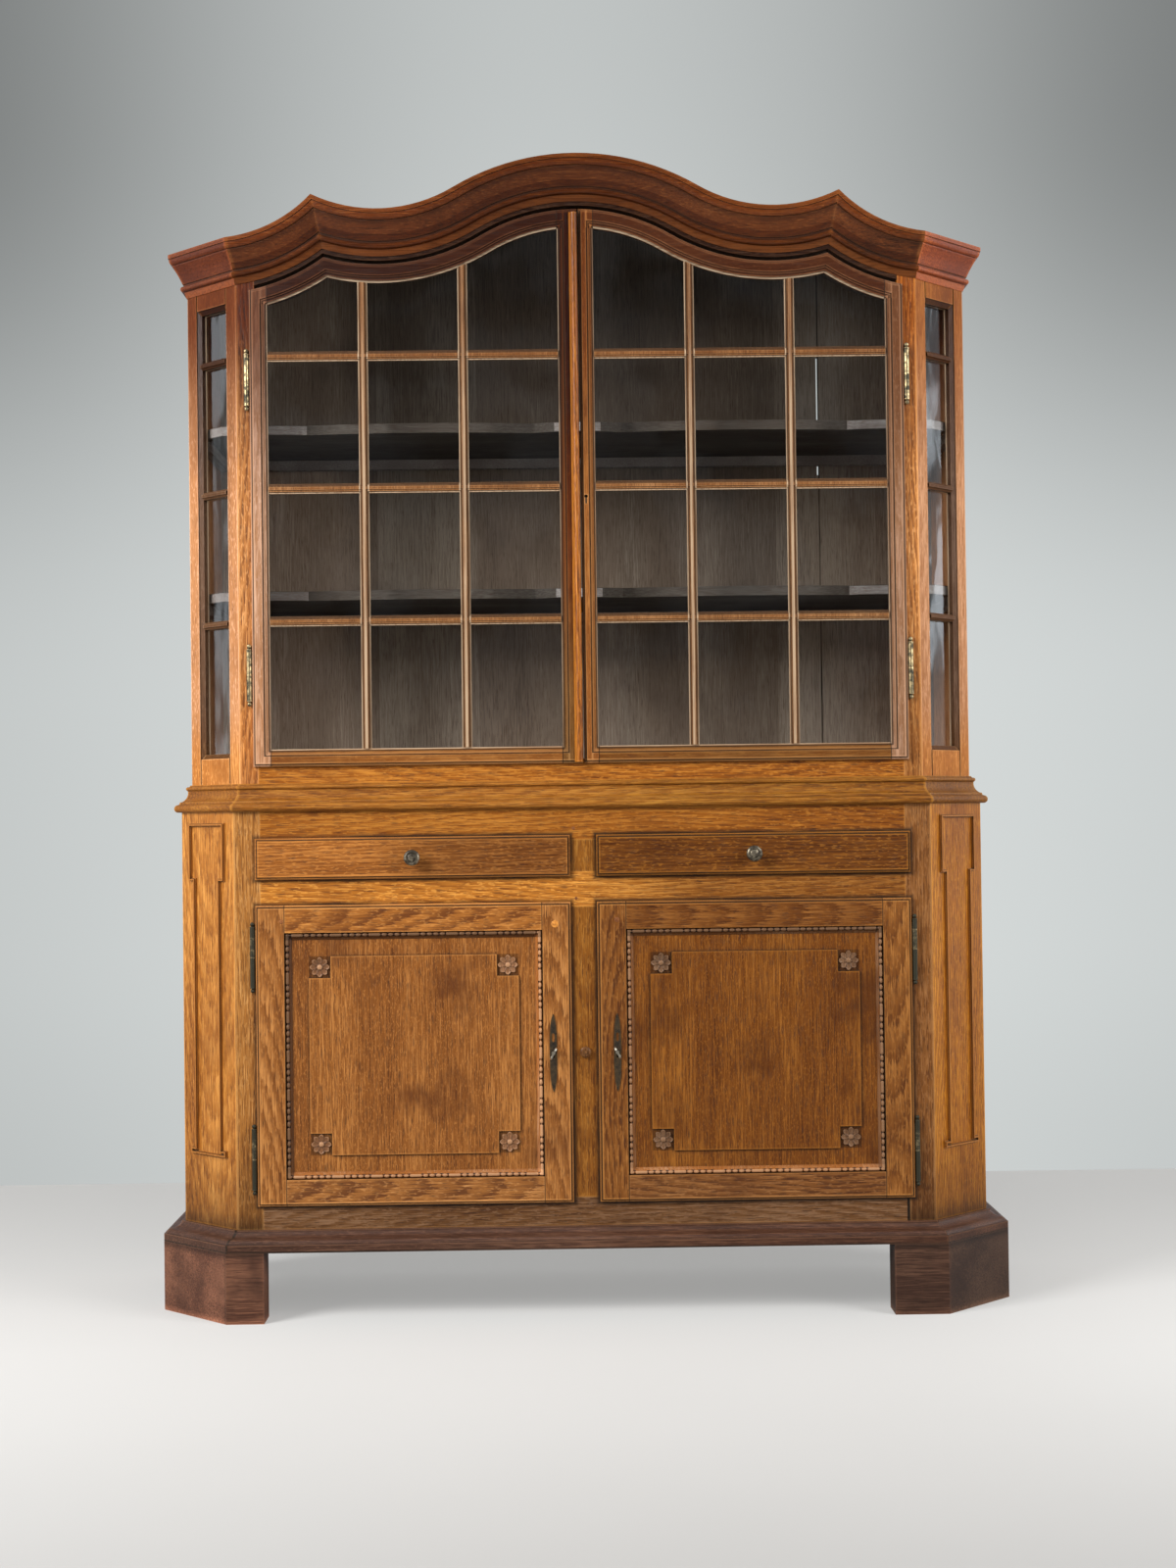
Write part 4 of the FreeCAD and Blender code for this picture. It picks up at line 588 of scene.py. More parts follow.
    # Sash mouldings: painted shade in the grooves, wear and painted highlight on the ridge, putty at the
    # glass
    for x0, x1, z0, left_top, right_top in sights:
        out = tree.times(inset((x0, x1, z0, max(left_top, right_top) + 1.0)), -1.0)
        is_right = tree.above(x, (x0 + x1) / 2.0)
        top = tree.plus(tree.times(is_right, right_top - left_top), left_top)
        below = tree.math("LESS_THAN", z, top)
        grooves = tree.most(line(out, *SASH_GROOVE), line(out, *SASH_QUIRK))
        paint = tree.blend(tree.times(grooves, tree.times(below, GROOVE_SHARE)), paint, BLACK_DIRT_AND_SHADE)
        ridge = tree.times(line(out, *SASH_RIDGE), tree.times(below, SASH_RIDGE_SHARE))
        paint = tree.blend(ridge, paint, rub_and_highlight)
        putty = tree.times(line(out, *SASH_PUTTY), tree.times(patchy, below))
        paint = tree.blend(tree.times(putty, SASH_PUTTY_SHARE), paint, PUTTY_AND_HIGHLIGHT)
    # Glazing bars: painted shade in the grooves, putty with painted highlight on the ridges
    if bars:
        columns, rows = bars
        side = 1.0
        for middle in columns:
            side = tree.least(side, tree.size(tree.minus(x, middle)))
        row_ridge = 0.0
        row_groove = 0.0
        for middle in rows:
            above = tree.minus(z, middle)
            row_ridge = tree.most(row_ridge, line(above, *ROW_RIDGE))
            row_groove = tree.most(row_groove, line(above, *ROW_GROOVE))
        beside = tree.above(side, BAR_REACH)
        groove = tree.most(tree.times(row_groove, beside), line(side, *BAR_GROOVE))
        paint = tree.blend(tree.times(groove, BAR_GROOVE_SHARE), paint, BLACK_DIRT_AND_SHADE)
        ridge = tree.most(tree.times(row_ridge, beside), line(side, *BAR_RIDGE))
        paint = tree.blend(tree.times(ridge, tree.times(patchy, BAR_RIDGE_SHARE)), paint, PUTTY_AND_HIGHLIGHT)
        # A painted highlight down the middle of each upright bar, fading towards the top
        crest_highlight = tree.times(line(side, *BAR_CREST), tree.ramp(z, *CREST_FADE))
        paint = tree.blend(tree.times(crest_highlight, patchy), paint, PUTTY_AND_HIGHLIGHT)
    # A line of dirt and painted shadow on the frame just outside each door and drawer
    for rectangle in dirt_and_shadow_outlines:
        outside = tree.times(inset(rectangle), -1.0)
        near = tree.times(tree.ramp(outside, *OUTLINE_OUT), tree.ramp(outside, *OUTLINE_IN))
        paint = tree.blend(tree.times(near, tree.ramp(stain, *OUTLINE_STAINS)), paint, BLACK_DIRT_AND_SHADE)
    for axis, middle, half, line_colour, limits in lines:
        share = tree.times(line(axes[axis], middle, half), within(limits))
        paint = tree.blend(tree.times(share, patchy), paint, line_colour)
    if zone:
        joint = tree.most(line(x, zone[0], JOINT_HALF), line(x, zone[1], JOINT_HALF))
        paint = tree.blend(tree.times(joint, JOINT_SHARE), paint, BLACK_DIRT_AND_SHADE)
    rough = tree.plus(gloss, tree.swing(streak, ROUGH_STREAKS), tree.times(pore, ROUGH_PORES),
                      tree.times(hollow_darkening, ROUGH_GRIME_AND_SHADE))
    height = tree.plus(tree.times(streak, RAISED_STREAKS), tree.times(pore, SUNK_PORES),
                       tree.times(late, SUNK_LATE_WOOD))
    shader = tree.principled(Base_Color=paint, Roughness=rough, Specular_IOR_Level=shine,
                             Normal=tree.bump(height, GRAIN_BUMP * crisp, GRAIN_HEIGHT))
    return tree.output(shader)


def metal(name, tones, cover, seed, rough=0.34, low_cover=None):
    """Worn metal in a bright tone where rubbed, with a patina in patches and in hollows.

    cover says how much of it the patina takes, and low_cover how much below about 1 m.
    """
    bright, patina = tones
    tree = shader_tree(name)
    x, y, z = tree.place()[1:]
    shifted = tree.vector(tree.plus(x, seed), y, z)
    patches = tree.noise(shifted, *METAL_PATCHES)
    fine = tree.noise(shifted, *METAL_SPECKS)
    share = cover
    if low_cover is not None:
        share = tree.ramp(z, *METAL_HEIGHTS, low_cover, cover)
    edge = tree.hollow(METAL_WEAR_REACH, inside=True)
    hollow_darkening = tree.ramp(tree.hollow(METAL_DIRT_REACH), *METAL_DIRT)
    mask = tree.plus(patches, share, tree.times(edge, -0.55))
    mask = tree.plus(tree.ramp(mask, *METAL_COVER), tree.times(hollow_darkening, 0.6))
    mask = tree.least(mask, 1.0)
    paint = tree.blend(mask, opaque(bright), opaque(patina))
    paint = tree.blend(tree.ramp(fine, *METAL_SPECK_SHARE), paint, opaque(patina, 0.6))
    surface = tree.plus(rough, tree.times(mask, 0.22), tree.swing(fine, 0.12))
    normal = tree.bump(tree.plus(patches, tree.times(fine, 0.3)), *METAL_BUMP)
    body = tree.ramp(mask, *METAL_BODY)
    return tree.output(tree.principled(Base_Color=paint, Metallic=body, Roughness=surface, Normal=normal))


def old_glass():
    """Clear drawn glass with faint waves; lamps shine straight through it."""
    tree = shader_tree("old_glass")
    x, y, z = tree.place()[1:]
    waves = tree.noise(tree.vector(x, y, tree.times(z, WAVE_STRETCH)), *WAVES)
    clear = tree.principled(Base_Color=GLASS_TINT, Transmission_Weight=1.0, IOR=GLASS_REFRACTION,
                            Roughness=0.0, Normal=tree.bump(waves, *WAVE_BUMP))
    path = tree.add("ShaderNodeLightPath")
    through = tree.most(path.outputs["Is Shadow Ray"], path.outputs["Is Diffuse Ray"])
    open_air = tree.add("ShaderNodeBsdfTransparent").outputs[0]
    return tree.output(tree.choose(through, clear, open_air))


def finish(node, material):
    """Gives a CAD node its material."""
    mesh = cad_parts[node].data
    mesh.materials.clear()
    mesh.materials.append(material)


def tone_set(kind):
    """Dark, middle and light tone of one oak finish."""
    tones = bpy.context.scene.oak_tones
    return tuple(tuple(getattr(tones, f"{kind}_{part}")) for part in TONE_PARTS)


def front_rectangle(node):
    """The rectangle (x0, x1, z0, z1) that a CAD node covers, seen from the front."""
    low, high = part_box(node)
    return low[0], high[0], low[2], high[2]


def rosette_places(side):
    """Middles (x, z) of the four rosettes of a lower door."""
    x0, x1, z0, z1 = front_rectangle(f"base_door_{side}_carving")
    columns = (x0 + ROSETTE_IN, x1 - ROSETTE_IN)
    rows = (z0 + ROSETTE_IN, z1 - ROSETTE_IN)
    return [(cx, cz) for cx in columns for cz in rows]


def toned(strength, *limits):
    """A shade for oak(): within all the limits the paint is scaled by strength."""
    return limits, strength


def lower_jobs(openings):
    """Oak jobs (node, tones, run, settings) of the lower case; openings are its doors and drawers."""
    low_dirt = (("z", 0.17, 0.36, 0.58, 1.0), ("z", 0.165, 0.215, 0.42, 1.0))
    foot_front = ("y", -0.3, -0.235)
    foot_cant = ("y", -0.235, -0.06)
    low_rail = ("z", 0.0, 0.23)
    mid_rail = ("z", 0.79, 0.86)
    top_rail = ("z", 0.92, 1.0)
    return [
        ("feet", "black", "across", dict(
            dirt_and_shade=0.5, gloss=0.5, flecks=0.1, figure=0.0, crisp=0.75, stains=0.7, wear_and_highlight=0.5,
            # Painted light from the left: the right foot and right cant darker, the left cant lighter
            shades=(toned(0.52, ("x", 0.3, 0.9)),
                    toned((0.9, 0.8, 0.75), ON_LEFT, foot_front),
                    toned((1.25, 1.1, 1.05), ON_LEFT, foot_cant),
                    toned((0.8, 0.9, 0.95), ON_RIGHT, foot_cant)),
            # Pale foot from wear; just under the plinth a painted shadow
            fades=(("z", 0.0, 0.014, 2.2, 1.0), ("z", 0.118, 0.135, 1.0, 0.35)))),
        ("plinth_moulding", "black", "across", dict(
            dirt_and_shade=0.9, gloss=0.36, wear_and_highlight=1.0, tint=0.80, figure=0.3, crisp=0.8, reach=0.7,
            # Darker to the right: painted fall of the light from the left
            fades=(("x", -0.1, 0.2, 1.0, (0.86, 0.80, 0.74)),),
            lines=(("m", PLINTH_MITRE, 0.0016, BLACK_DIRT_AND_SHADE, ()), ("z", 0.1365, 0.0022, BLACK_DIRT_AND_SHADE, ()),
                   ("m", PLINTH_MITRE, 0.0045, BLACK_DIRT_AND_SHADE, (ON_LEFT,))))),
        ("base_floor", "inside", "across", RAW),
        ("base_top", "inside", "across", RAW),
        ("base_sides", "gold", "up", dict(fades=low_dirt)),
        ("base_back_boards", "inside", "up", dict(boards=0.21, **RAW)),
        ("base_stiles", "gold", "up", dict(
            dirt_and_shadow_outlines=openings, fades=low_dirt, figure=0.6, tint=(0.93, 1.10, 1.7),
            # The right stile darker: painted fall of the light from the left
            shades=(toned((0.60, 0.55, 0.60), ON_RIGHT),))),
        ("base_rails", "gold", "across", dict(
            flecks=0.55, dirt_and_shadow_outlines=openings, figure=0.8,
            # The middle rail darker to the right: painted fall of the light from the left
            fades=(("x", -0.05, 0.25, 1.0, (0.46, 0.42, 0.40), mid_rail),),
            shades=(toned((0.36, 0.45, 1.12), low_rail), toned((1.18, 1.24, 1.12), mid_rail),
                    toned((0.71, 0.65, 0.42), top_rail), toned(0.05, low_rail, ("x", 0.621, 0.628))))),
        ("base_centre_posts", "gold", "up", dict(tint=(0.68, 0.71, 0.58), dirt_and_shadow_outlines=openings, figure=0.5)),
        ("base_corners", "gold", "up", dict(
            fades=low_dirt, figure=0.8,
            # The left cant lighter and the right one darker: painted light from the left
            shades=(toned((1.12, 1.2, 1.35), ON_LEFT), toned((1.03, 1.01, 0.55), ON_RIGHT)))),
        ("base_corner_mouldings", "gold", "up", dict(tint=(0.66, 0.60, 0.56), wear_and_highlight=1.0, dirt_and_shade=1.0, reach=0.7)),
        ("centre_button", "russet", "up", dict(tint=(0.42, 0.45, 0.60), wear_and_highlight=1.0, dirt_and_shade=1.0)),
        ("drawer_runners", "inside", "deep", RAW),
    ]


def upper_jobs():
    """Oak jobs of the upper case."""
    upper_fade = ("z", *DARKENING, 1.0, (0.19, 0.090, 0.035))
    weak_fade = ("z", *DARKENING, 1.0, (0.58, 0.38, 0.13))
    foot_fade = ("z", 1.06, 1.20, (1.0, 0.82, 0.42), 1.0)
    stile_foot = ("z", 1.05, 1.45)
    stile_fades = (("z", *DARKENING, 1.0, (0.16, 0.068, 0.019), ON_LEFT), weak_fade + (ON_RIGHT,),
                   stile_foot + ((0.96, 0.96, 0.82), (1.05, 1.20, 1.30), ON_LEFT),
                   stile_foot + ((0.62, 0.63, 0.50), (1.15, 1.30, 1.35), ON_RIGHT))
    inner_face = ("y", 0.0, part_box("upper_back_boards")[0][1] + SKIN)
    # Painted light and shade on the inner face of the back boards: lighter and darker bands across it,
    # lighter below the lower shelf and darker above the upper shelf
    back_painted_light_and_shade = (("x", -0.58, -0.42, 1.9, 0.75), ("x", -0.28, -0.15, 1.0, 1.3), ("x", 0.05, 0.12, 1.0, 0.85),
                  ("x", 0.40, 0.60, 1.0, 1.3), ("z", 1.36, 1.40, 1.5, 1.0), ("z", 1.70, 1.72, 1.0, 0.52),
                  ("z", 1.90, 1.98, 1.0, 1.5))
    cornice = dict(gloss=0.30, figure=0.25, flecks=0.1, reach=1.6, crisp=0.6)
    corner_light = dict(
        # The reveal behind the canted frames darker: painted shade
        figure=0.3, crisp=0.5, shine=0.1, reach=0.6, shades=(toned(0.22, ("v", 0.0012, 0.0300)),),
        lines=(("v", 0.0168, 0.0022, PUTTY_AND_HIGHLIGHT, ()),))
    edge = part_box("display_shelves")[1][2] - SHELF_UNDERSIDES[1]
    ends = ((("x", -0.087, 0.087), ("y", -0.13, -0.115)), (("x", -0.9, -0.538),), (("x", 0.538, 0.9),))
    pale_ends = tuple(toned((3.4, 3.6, 4.0), *limits, ("z", under + SKIN, under + edge - SKIN))
                      for limits in ends for under in SHELF_UNDERSIDES)
    return [
        ("waist_moulding", "gold", "across", dict(
            # Darker to the right: painted fall of the light from the left
            tint=(0.72, 0.72, 0.56), fades=(("x", -0.1, 0.2, 1.0, (0.84, 0.86, 0.75)),), wear_and_highlight=0.8,
            figure=0.7)),
        ("upper_floor", "inside", "across", RAW),
        ("upper_sides", "brown", "up", dict(tint=1.1, fades=(upper_fade,))),
        ("upper_back_boards", "inside", "up", dict(
            boards=0.213, tint=(1.18, 1.06, 0.89), fades=tuple(fade + (inner_face,) for fade in back_painted_light_and_shade),
            lines=(("x", LIGHT_JOINT, 0.0022, BLACK_DIRT_AND_SHADE, ()),), **RAW)),
        ("upper_roof", "inside", "across", RAW),
        # Lighter tint: in part a painted sheen of the side light
        ("upper_stiles", "brown", "up", dict(tint=(1.5, 1.35, 1.0), fades=stile_fades, crisp=0.8)),
        ("upper_bottom_rail", "gold", "across", dict(tint=(0.87, 0.81, 0.55), flecks=0.5, figure=0.7)),
        ("frieze", "dark", "across", dict(tint=0.18, figure=0.4)),
        ("cornice_front", "dark", "across", dict(
            tint=0.95, wear_and_highlight=0.35,
            # Painted shade on the top of the cove, which faces down
            fades=(("y", -0.2078, -0.2010, 0.6, 1.0),
                   ("x", -0.35, -0.10, (1.10, 1.05, 0.90), (0.80, 0.74, 0.56)),
                   ("x", 0.10, 0.40, 1.0, (1.60, 1.75, 1.90))),
            # Painted light and shade on the profile: the lower members, which face down, darker; the top
            # fillet lighter
            shades=(toned((0.60, 0.48, 0.29), ("y", -0.1945, 0.0)),
                    toned((1.9, 1.7, 1.4), ("y", -0.3, -0.2085))), **cornice)),
        ("cornice_returns", "dark", "deep", dict(
            tint=(0.93, 0.67, 0.51), fades=(("x", -0.1, 0.1, 1.0, (2.4, 2.2, 1.6)),), wear_and_highlight=0.6, **cornice)),
        # Pale grey-blue tints, stronger on the left: in part a painted sheen of the side light
        ("corner_light_left", "brown", "up", dict(
            tint=(1.8, 2.15, 2.8), fades=(upper_fade, foot_fade), **corner_light)),
        ("corner_light_right", "brown", "up", dict(
            tint=(1.45, 1.6, 1.9), fades=(weak_fade, foot_fade), **corner_light)),
        ("display_shelves", "inside", "across", dict(tint=(0.42, 0.41, 0.38), shades=pale_ends, **RAW)),
        # Battens lighter than the boards: painted light in the shade under the shelves
        ("shelf_battens", "inside", "deep", dict(tint=1.3, **RAW)),
        ("meeting_bead", "gold", "up", dict(
            tint=(0.95, 0.83, 0.40), fades=(("z", 1.5, 2.1, 1.0, (0.52, 0.45, 0.42)),))),
    ]


def side_jobs(side, right, door, tray):
    """Oak jobs of the doors and drawer of one side; door and tray are the rectangles of the lower two."""

    def pick(for_left, for_right):
        return for_right if right else for_left

    strips = front_rectangle(f"base_door_{side}_carving")
    lattice = front_rectangle(f"upper_door_{side}_bars")
    leaf = front_rectangle(f"upper_door_{side}_frame")
    inner = pick(("x", lattice[1], 0.02), ("x", 0.0, lattice[0]))
    outer = pick(("x", -FAR, lattice[0]), ("x", lattice[1], FAR))
    rail = ("x", lattice[0], lattice[1])
    span = ("x", strips[0], strips[1])
    low_rail = ("z", 1.0, 1.2)
    arched_rail = ("z", 1.9, 2.3)
    left_fades = (("z", 1.46, 1.95, 1.0, (0.19, 0.115, 0.08)),
                  ("z", 1.10, 1.50, (1.5, 2.8, 6.0), 1.0, inner),
                  ("z", 1.10, 1.40, (0.90, 0.83, 0.72), (1.05, 1.12, 1.20), outer))
    right_fades = (("z", 1.46, 1.95, 1.0, (0.50, 0.38, 0.29)),)
    bead_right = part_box("meeting_bead")[1][0]
    beside_bead = ("x", bead_right, bead_right + BEAD_SHADOW)
    tops = pick((SIGHT_LOW, SIGHT_HIGH), (SIGHT_HIGH, SIGHT_LOW))
    edges = pick((leaf[0], FAR, leaf[2], FAR), (-FAR, leaf[1], leaf[2], FAR))
    panel_low, panel_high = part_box(f"base_door_{side}_panel")
    front = ("y", -FAR, (panel_low[1] + panel_high[1]) / 2.0)
    # Painted shade in the sunk square notches round the rosettes
    notch_shade = tuple(toned(0.55, front, ("x", cx - NOTCH_HALF, cx + NOTCH_HALF),
                          ("z", cz - NOTCH_HALF, cz + NOTCH_HALF)) for cx, cz in rosette_places(side))
    pitch = (lattice[1] - lattice[0] + BAR_WIDTH) / 3.0
    columns = tuple(lattice[0] + pitch * count - BAR_WIDTH / 2.0 for count in (1.0, 2.0))
    return [
        (f"drawer_{side}_front", "russet", "across", dict(
            tint=pick((1.0, 0.95, 0.78), (0.60, 0.55, 0.27)), lips=(tray,), flecks=0.6, figure=0.7,
            # The left drawer darker towards the right: painted fall of the light from the left
            fades=pick((("x", -0.45, -0.25, 1.05, 0.66),), ()))),
        (f"drawer_{side}_box", "inside", "deep", RAW),
        (f"base_door_{side}_frame", "russet", "frame", dict(
            zone=strips, outer=door, lips=(door,), figure=1.1,
            # Rails lighter on the left door and darker on the right one: painted fall of the light from the
            # left
            shades=(toned(pick((1.38, 1.40, 1.26), (0.68, 0.62, 0.52)), span, ("z", 0.6, FAR)),
                    toned(pick((1.22, 1.34, 1.64), (0.88, 0.94, 1.36)), span, ("z", 0.0, 0.4))),
            tint=pick((1.03, 1.08, 1.18), (0.85, 0.87, 0.80)))),
        (f"base_door_{side}_panel", "russet", "up", dict(
            tint=pick((0.94, 0.94, 0.92), (0.63, 0.56, 0.28)), flecks=0.5, fleck_size=0.6, wear_and_highlight=0.8,
            figure=0.1, stains=0.75, shades=notch_shade)),
        (f"upper_door_{side}_frame", "brown", "frame", dict(
            zone=lattice, outer=leaf, reach=0.8, wear_and_highlight=0.9, figure=0.3, crisp=0.5, lips=(edges,),
            sights=(lattice[:3] + tops,), fades=pick(left_fades, right_fades),
            # Painted shadow beside the meeting bead; paler, greyer outer stiles: a painted sheen of the side
            # light
            shades=(toned(pick((0.31, 0.165, 0.042), (0.84, 0.72, 0.38)), inner), toned(0.35, beside_bead),
                    toned(pick((1.25, 1.52, 2.15), (0.86, 1.04, 1.42)), outer),
                    # The arched rail darker: painted shadow under the cornice
                    toned((0.42, 0.36, 0.32), rail, arched_rail),
                    toned(pick((0.73, 0.62, 0.29), (0.49, 0.42, 0.18)), rail, low_rail)),
            lines=(("y", SASH_FLAT, 0.0008, opaque(PUTTY_AND_HIGHLIGHT[:3], 0.6), (rail, arched_rail)),))),
        (f"upper_door_{side}_bars", "brown", "up", dict(
            tint=(0.70, 0.70, 0.58), wear_and_highlight=0.8, reach=0.6, figure=0.3, crisp=0.7, bars=(columns, BAR_ROWS),
            fades=(("z", 1.5, 2.08, 1.0, (0.7, 0.6, 0.5)),))),
    ]


class FinishOak(bpy.types.Operator):
    """Give every oak piece its own boards"""
    bl_idname = "cabinet.finish_oak"
    bl_label = "Finish oak"

    def execute(self, context):
        doors = [front_rectangle(f"base_door_{side}_frame") for side, _ in SIDES]
        trays = [front_rectangle(f"drawer_{side}_front") for side, _ in SIDES]
        jobs = lower_jobs(doors + trays) + upper_jobs()
        for (side, sign), door, tray in zip(SIDES, doors, trays):
            jobs += side_jobs(side, sign > 0.0, door, tray)
        for seed, (node, kind, run, extra) in enumerate(jobs):
            finish(node, oak(f"oak_{node}", tone_set(kind), run, seed, **extra))
        return {"FINISHED"}


class FinishMetal(bpy.types.Operator):
    """Give hinges, knobs, locks and keys their worn metal"""
    bl_idname = "cabinet.finish_metal"
    bl_label = "Finish metal"

    def execute(self, context):
        brass = ((0.58, 0.44, 0.23), (0.030, 0.027, 0.014))
        grey = ((0.46, 0.39, 0.28), (0.038, 0.028, 0.017))
        bronze = ((0.16, 0.11, 0.06), (0.016, 0.011, 0.007))
        steel = ((0.55, 0.50, 0.40), (0.11, 0.09, 0.06))
        black = ((0.20, 0.18, 0.16), (0.045, 0.036, 0.030))
        low_cover = 0.88
        high_cover = 0.57
        finish("hinge_frame_halves", metal("brass_frame_hinges", brass, high_cover, 0.0, low_cover=low_cover))
        iron = metal("iron_lock", black, 0.50, 4.0, rough=0.48)
        finish("upper_door_right_lock", iron)
        for side, sign in SIDES:
            low_hinges = metal(f"brass_low_{side}", brass, low_cover, sign + 1.5)
            high_hinges = metal(f"brass_high_{side}", brass, high_cover, sign + 2.5)
            knob = metal(f"knob_{side}", grey, 0.62, sign + 3.5, rough=0.24)
            lock = metal(f"bronze_{side}", bronze, 0.80, sign + 5.5, rough=0.42)
            finish(f"base_door_{side}_hinges", low_hinges)
            finish(f"upper_door_{side}_hinges", high_hinges)
            finish(f"drawer_{side}_knob", knob)
            finish(f"base_door_{side}_lock", lock)
            finish(f"key_{side}", metal(f"key_metal_{side}", steel, 0.40, sign + 6.5))
            finish(f"bolt_{side}", iron)
        return {"FINISHED"}


class FinishGlass(bpy.types.Operator):
    """Glaze the doors and corner lights"""
    bl_idname = "cabinet.finish_glass"
    bl_label = "Finish glass"

    def execute(self, context):
        glass = old_glass()
        for node in ("corner_glass", "upper_door_left_glass", "upper_door_right_glass"):
            finish(node, glass)
        return {"FINISHED"}


def closed_grid(points, wrap_rows):
    """Faces of a grid of points whose columns wrap round, and whose rows wrap too with wrap_rows."""
    rows, columns = points.shape[:2]
    last = rows if wrap_rows else rows - 1
    first = np.arange(last)[:, None]
    column = np.arange(columns)[None, :]
    after = (first + 1) % rows
    beside = (column + 1) % columns
    corners = (first * columns + column, first * columns + beside, after * columns + beside,
               after * columns + column)
    return np.stack(np.broadcast_arrays(*corners), axis=-1).reshape(-1, 4)


def outward(points, faces):
    """Faces turned so that the closed shell's signed volume is positive."""
    a, b, c, d = (points[faces[:, k]] for k in range(4))
    volume = np.einsum("ij,ij->i", a, np.cross(b, c)).sum() + np.einsum("ij,ij->i", a, np.cross(c, d)).sum()
    return faces if volume > 0.0 else faces[:, ::-1]


def piece_from(name, shells, body, material):
    """One smooth mesh from closed shells of (points, faces, relief), riding on body."""
    points = []
    faces = []
    start = 0
    for shell_points, shell_faces, _ in shells:
        flat = shell_points.reshape(-1, 3)
        points.append(flat)
        faces.append(outward(flat, shell_faces) + start)
        start += len(flat)
    points = np.concatenate(points)
    faces = np.concatenate(faces)
    relief = np.concatenate([shell[2].ravel() for shell in shells])
    mesh = bpy.data.meshes.new(name)
    mesh.from_pydata(points.tolist(), [], faces.tolist())
    mesh.polygons.foreach_set("use_smooth", np.ones(len(faces), bool))
    mesh.attributes.new("relief", "FLOAT", "POINT").data.foreach_set("value", relief.astype(np.float32))
    mesh.validate()
    mesh.materials.append(material)
    piece = bpy.data.objects.new(name, mesh)
    bpy.context.scene.collection.objects.link(piece)
    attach(piece, body)
    return piece


def bead_strips(x0, x1, z0, z1, y_seat, sizes):
    """Closed strip round a rectangle, mitred at its corners.

    A point lies at distance w from the outer edge and t along its side, at height
    base(w) + sqrt((R * swell(t))^2 - (w - centre)^2), where swell runs through four pearls and a reed.
    """
    width = sizes.strip_width
    radius = sizes.bead_radius
    pattern = sizes.pattern_pitch
    pearl_pitch = sizes.pearl_pitch
    pearl_half = pearl_pitch * 0.48
    half_reed = pattern / 6.0
    centre = 0.0050
    quirk = 0.0046
    edge_height = 0.0040
    edge_round = 0.0008
    cove_foot = 0.0006
    crown_points = 13
    cove_points = 7
    flat_relief = 0.45
    crown = centre + radius * np.cos(np.linspace(math.pi, 0.0, crown_points))
    cove = np.linspace(crown[-1], width, cove_points)[1:]
    w = np.concatenate(([0.0, edge_round], crown, cove, [width, 0.0]))
    fall = np.clip((width - w) / (width - crown[-1]), 0.0, 1.0)
    base = np.where(w > crown[-1], cove_foot + (quirk - cove_foot) * fall ** 2.0, quirk)
    base[0] = edge_height
    base[-2:] = 0.0
    on_top = np.ones_like(w)
    on_top[-2:] = 0.0
    on_bead = (w > crown[0]) & (w < crown[-1]) & (on_top > 0.0)
    plain = np.where(w > crown[0], flat_relief, 0.0)
    corners = np.array([(x0, z0), (x1, z0), (x1, z1), (x0, z1)])
    rows = []
    reliefs = []
    for index in range(4):
        begin = corners[index]
        run = corners[(index + 1) % 4] - begin
        reach = np.linalg.norm(run)
        ahead = run / reach
        inward = np.array((-ahead[1], ahead[0]))
        share = np.linspace(0.0, 1.0, int(reach / sizes.ring_step), endpoint=False)[:, None]
        t = w[None, :] + share * (reach - 2.0 * w[None, :])
        from_reed = np.abs(np.mod(t - reach / 2.0 + pattern / 2.0, pattern) - pattern / 2.0)
        reed_end = np.clip((from_reed - half_reed + radius) / radius, 0.0, 1.0)
        reed = np.sqrt(1.0 - reed_end ** 2.0)
        from_pearl = np.mod(from_reed - half_reed, pearl_pitch) - pearl_pitch / 2.0
        pearl = np.sqrt(np.clip(1.0 - (from_pearl / pearl_half) ** 2.0, 0.0, 1.0))
        swell = np.where(from_reed < half_reed, reed, pearl)
        rise = np.sqrt(np.clip((radius * swell) ** 2.0 - (w - centre)[None, :] ** 2.0, 0.0, None))
        height = base[None, :] + rise * on_top[None, :]
        flat = begin + t[..., None] * ahead + w[None, :, None] * inward
        rows.append(np.stack((flat[..., 0], y_seat - height, flat[..., 1]), axis=-1))
        reliefs.append(np.where(on_bead[None, :], rise / radius, plain[None, :]))
    points = np.concatenate(rows)
    return points, closed_grid(points, True), np.concatenate(reliefs)


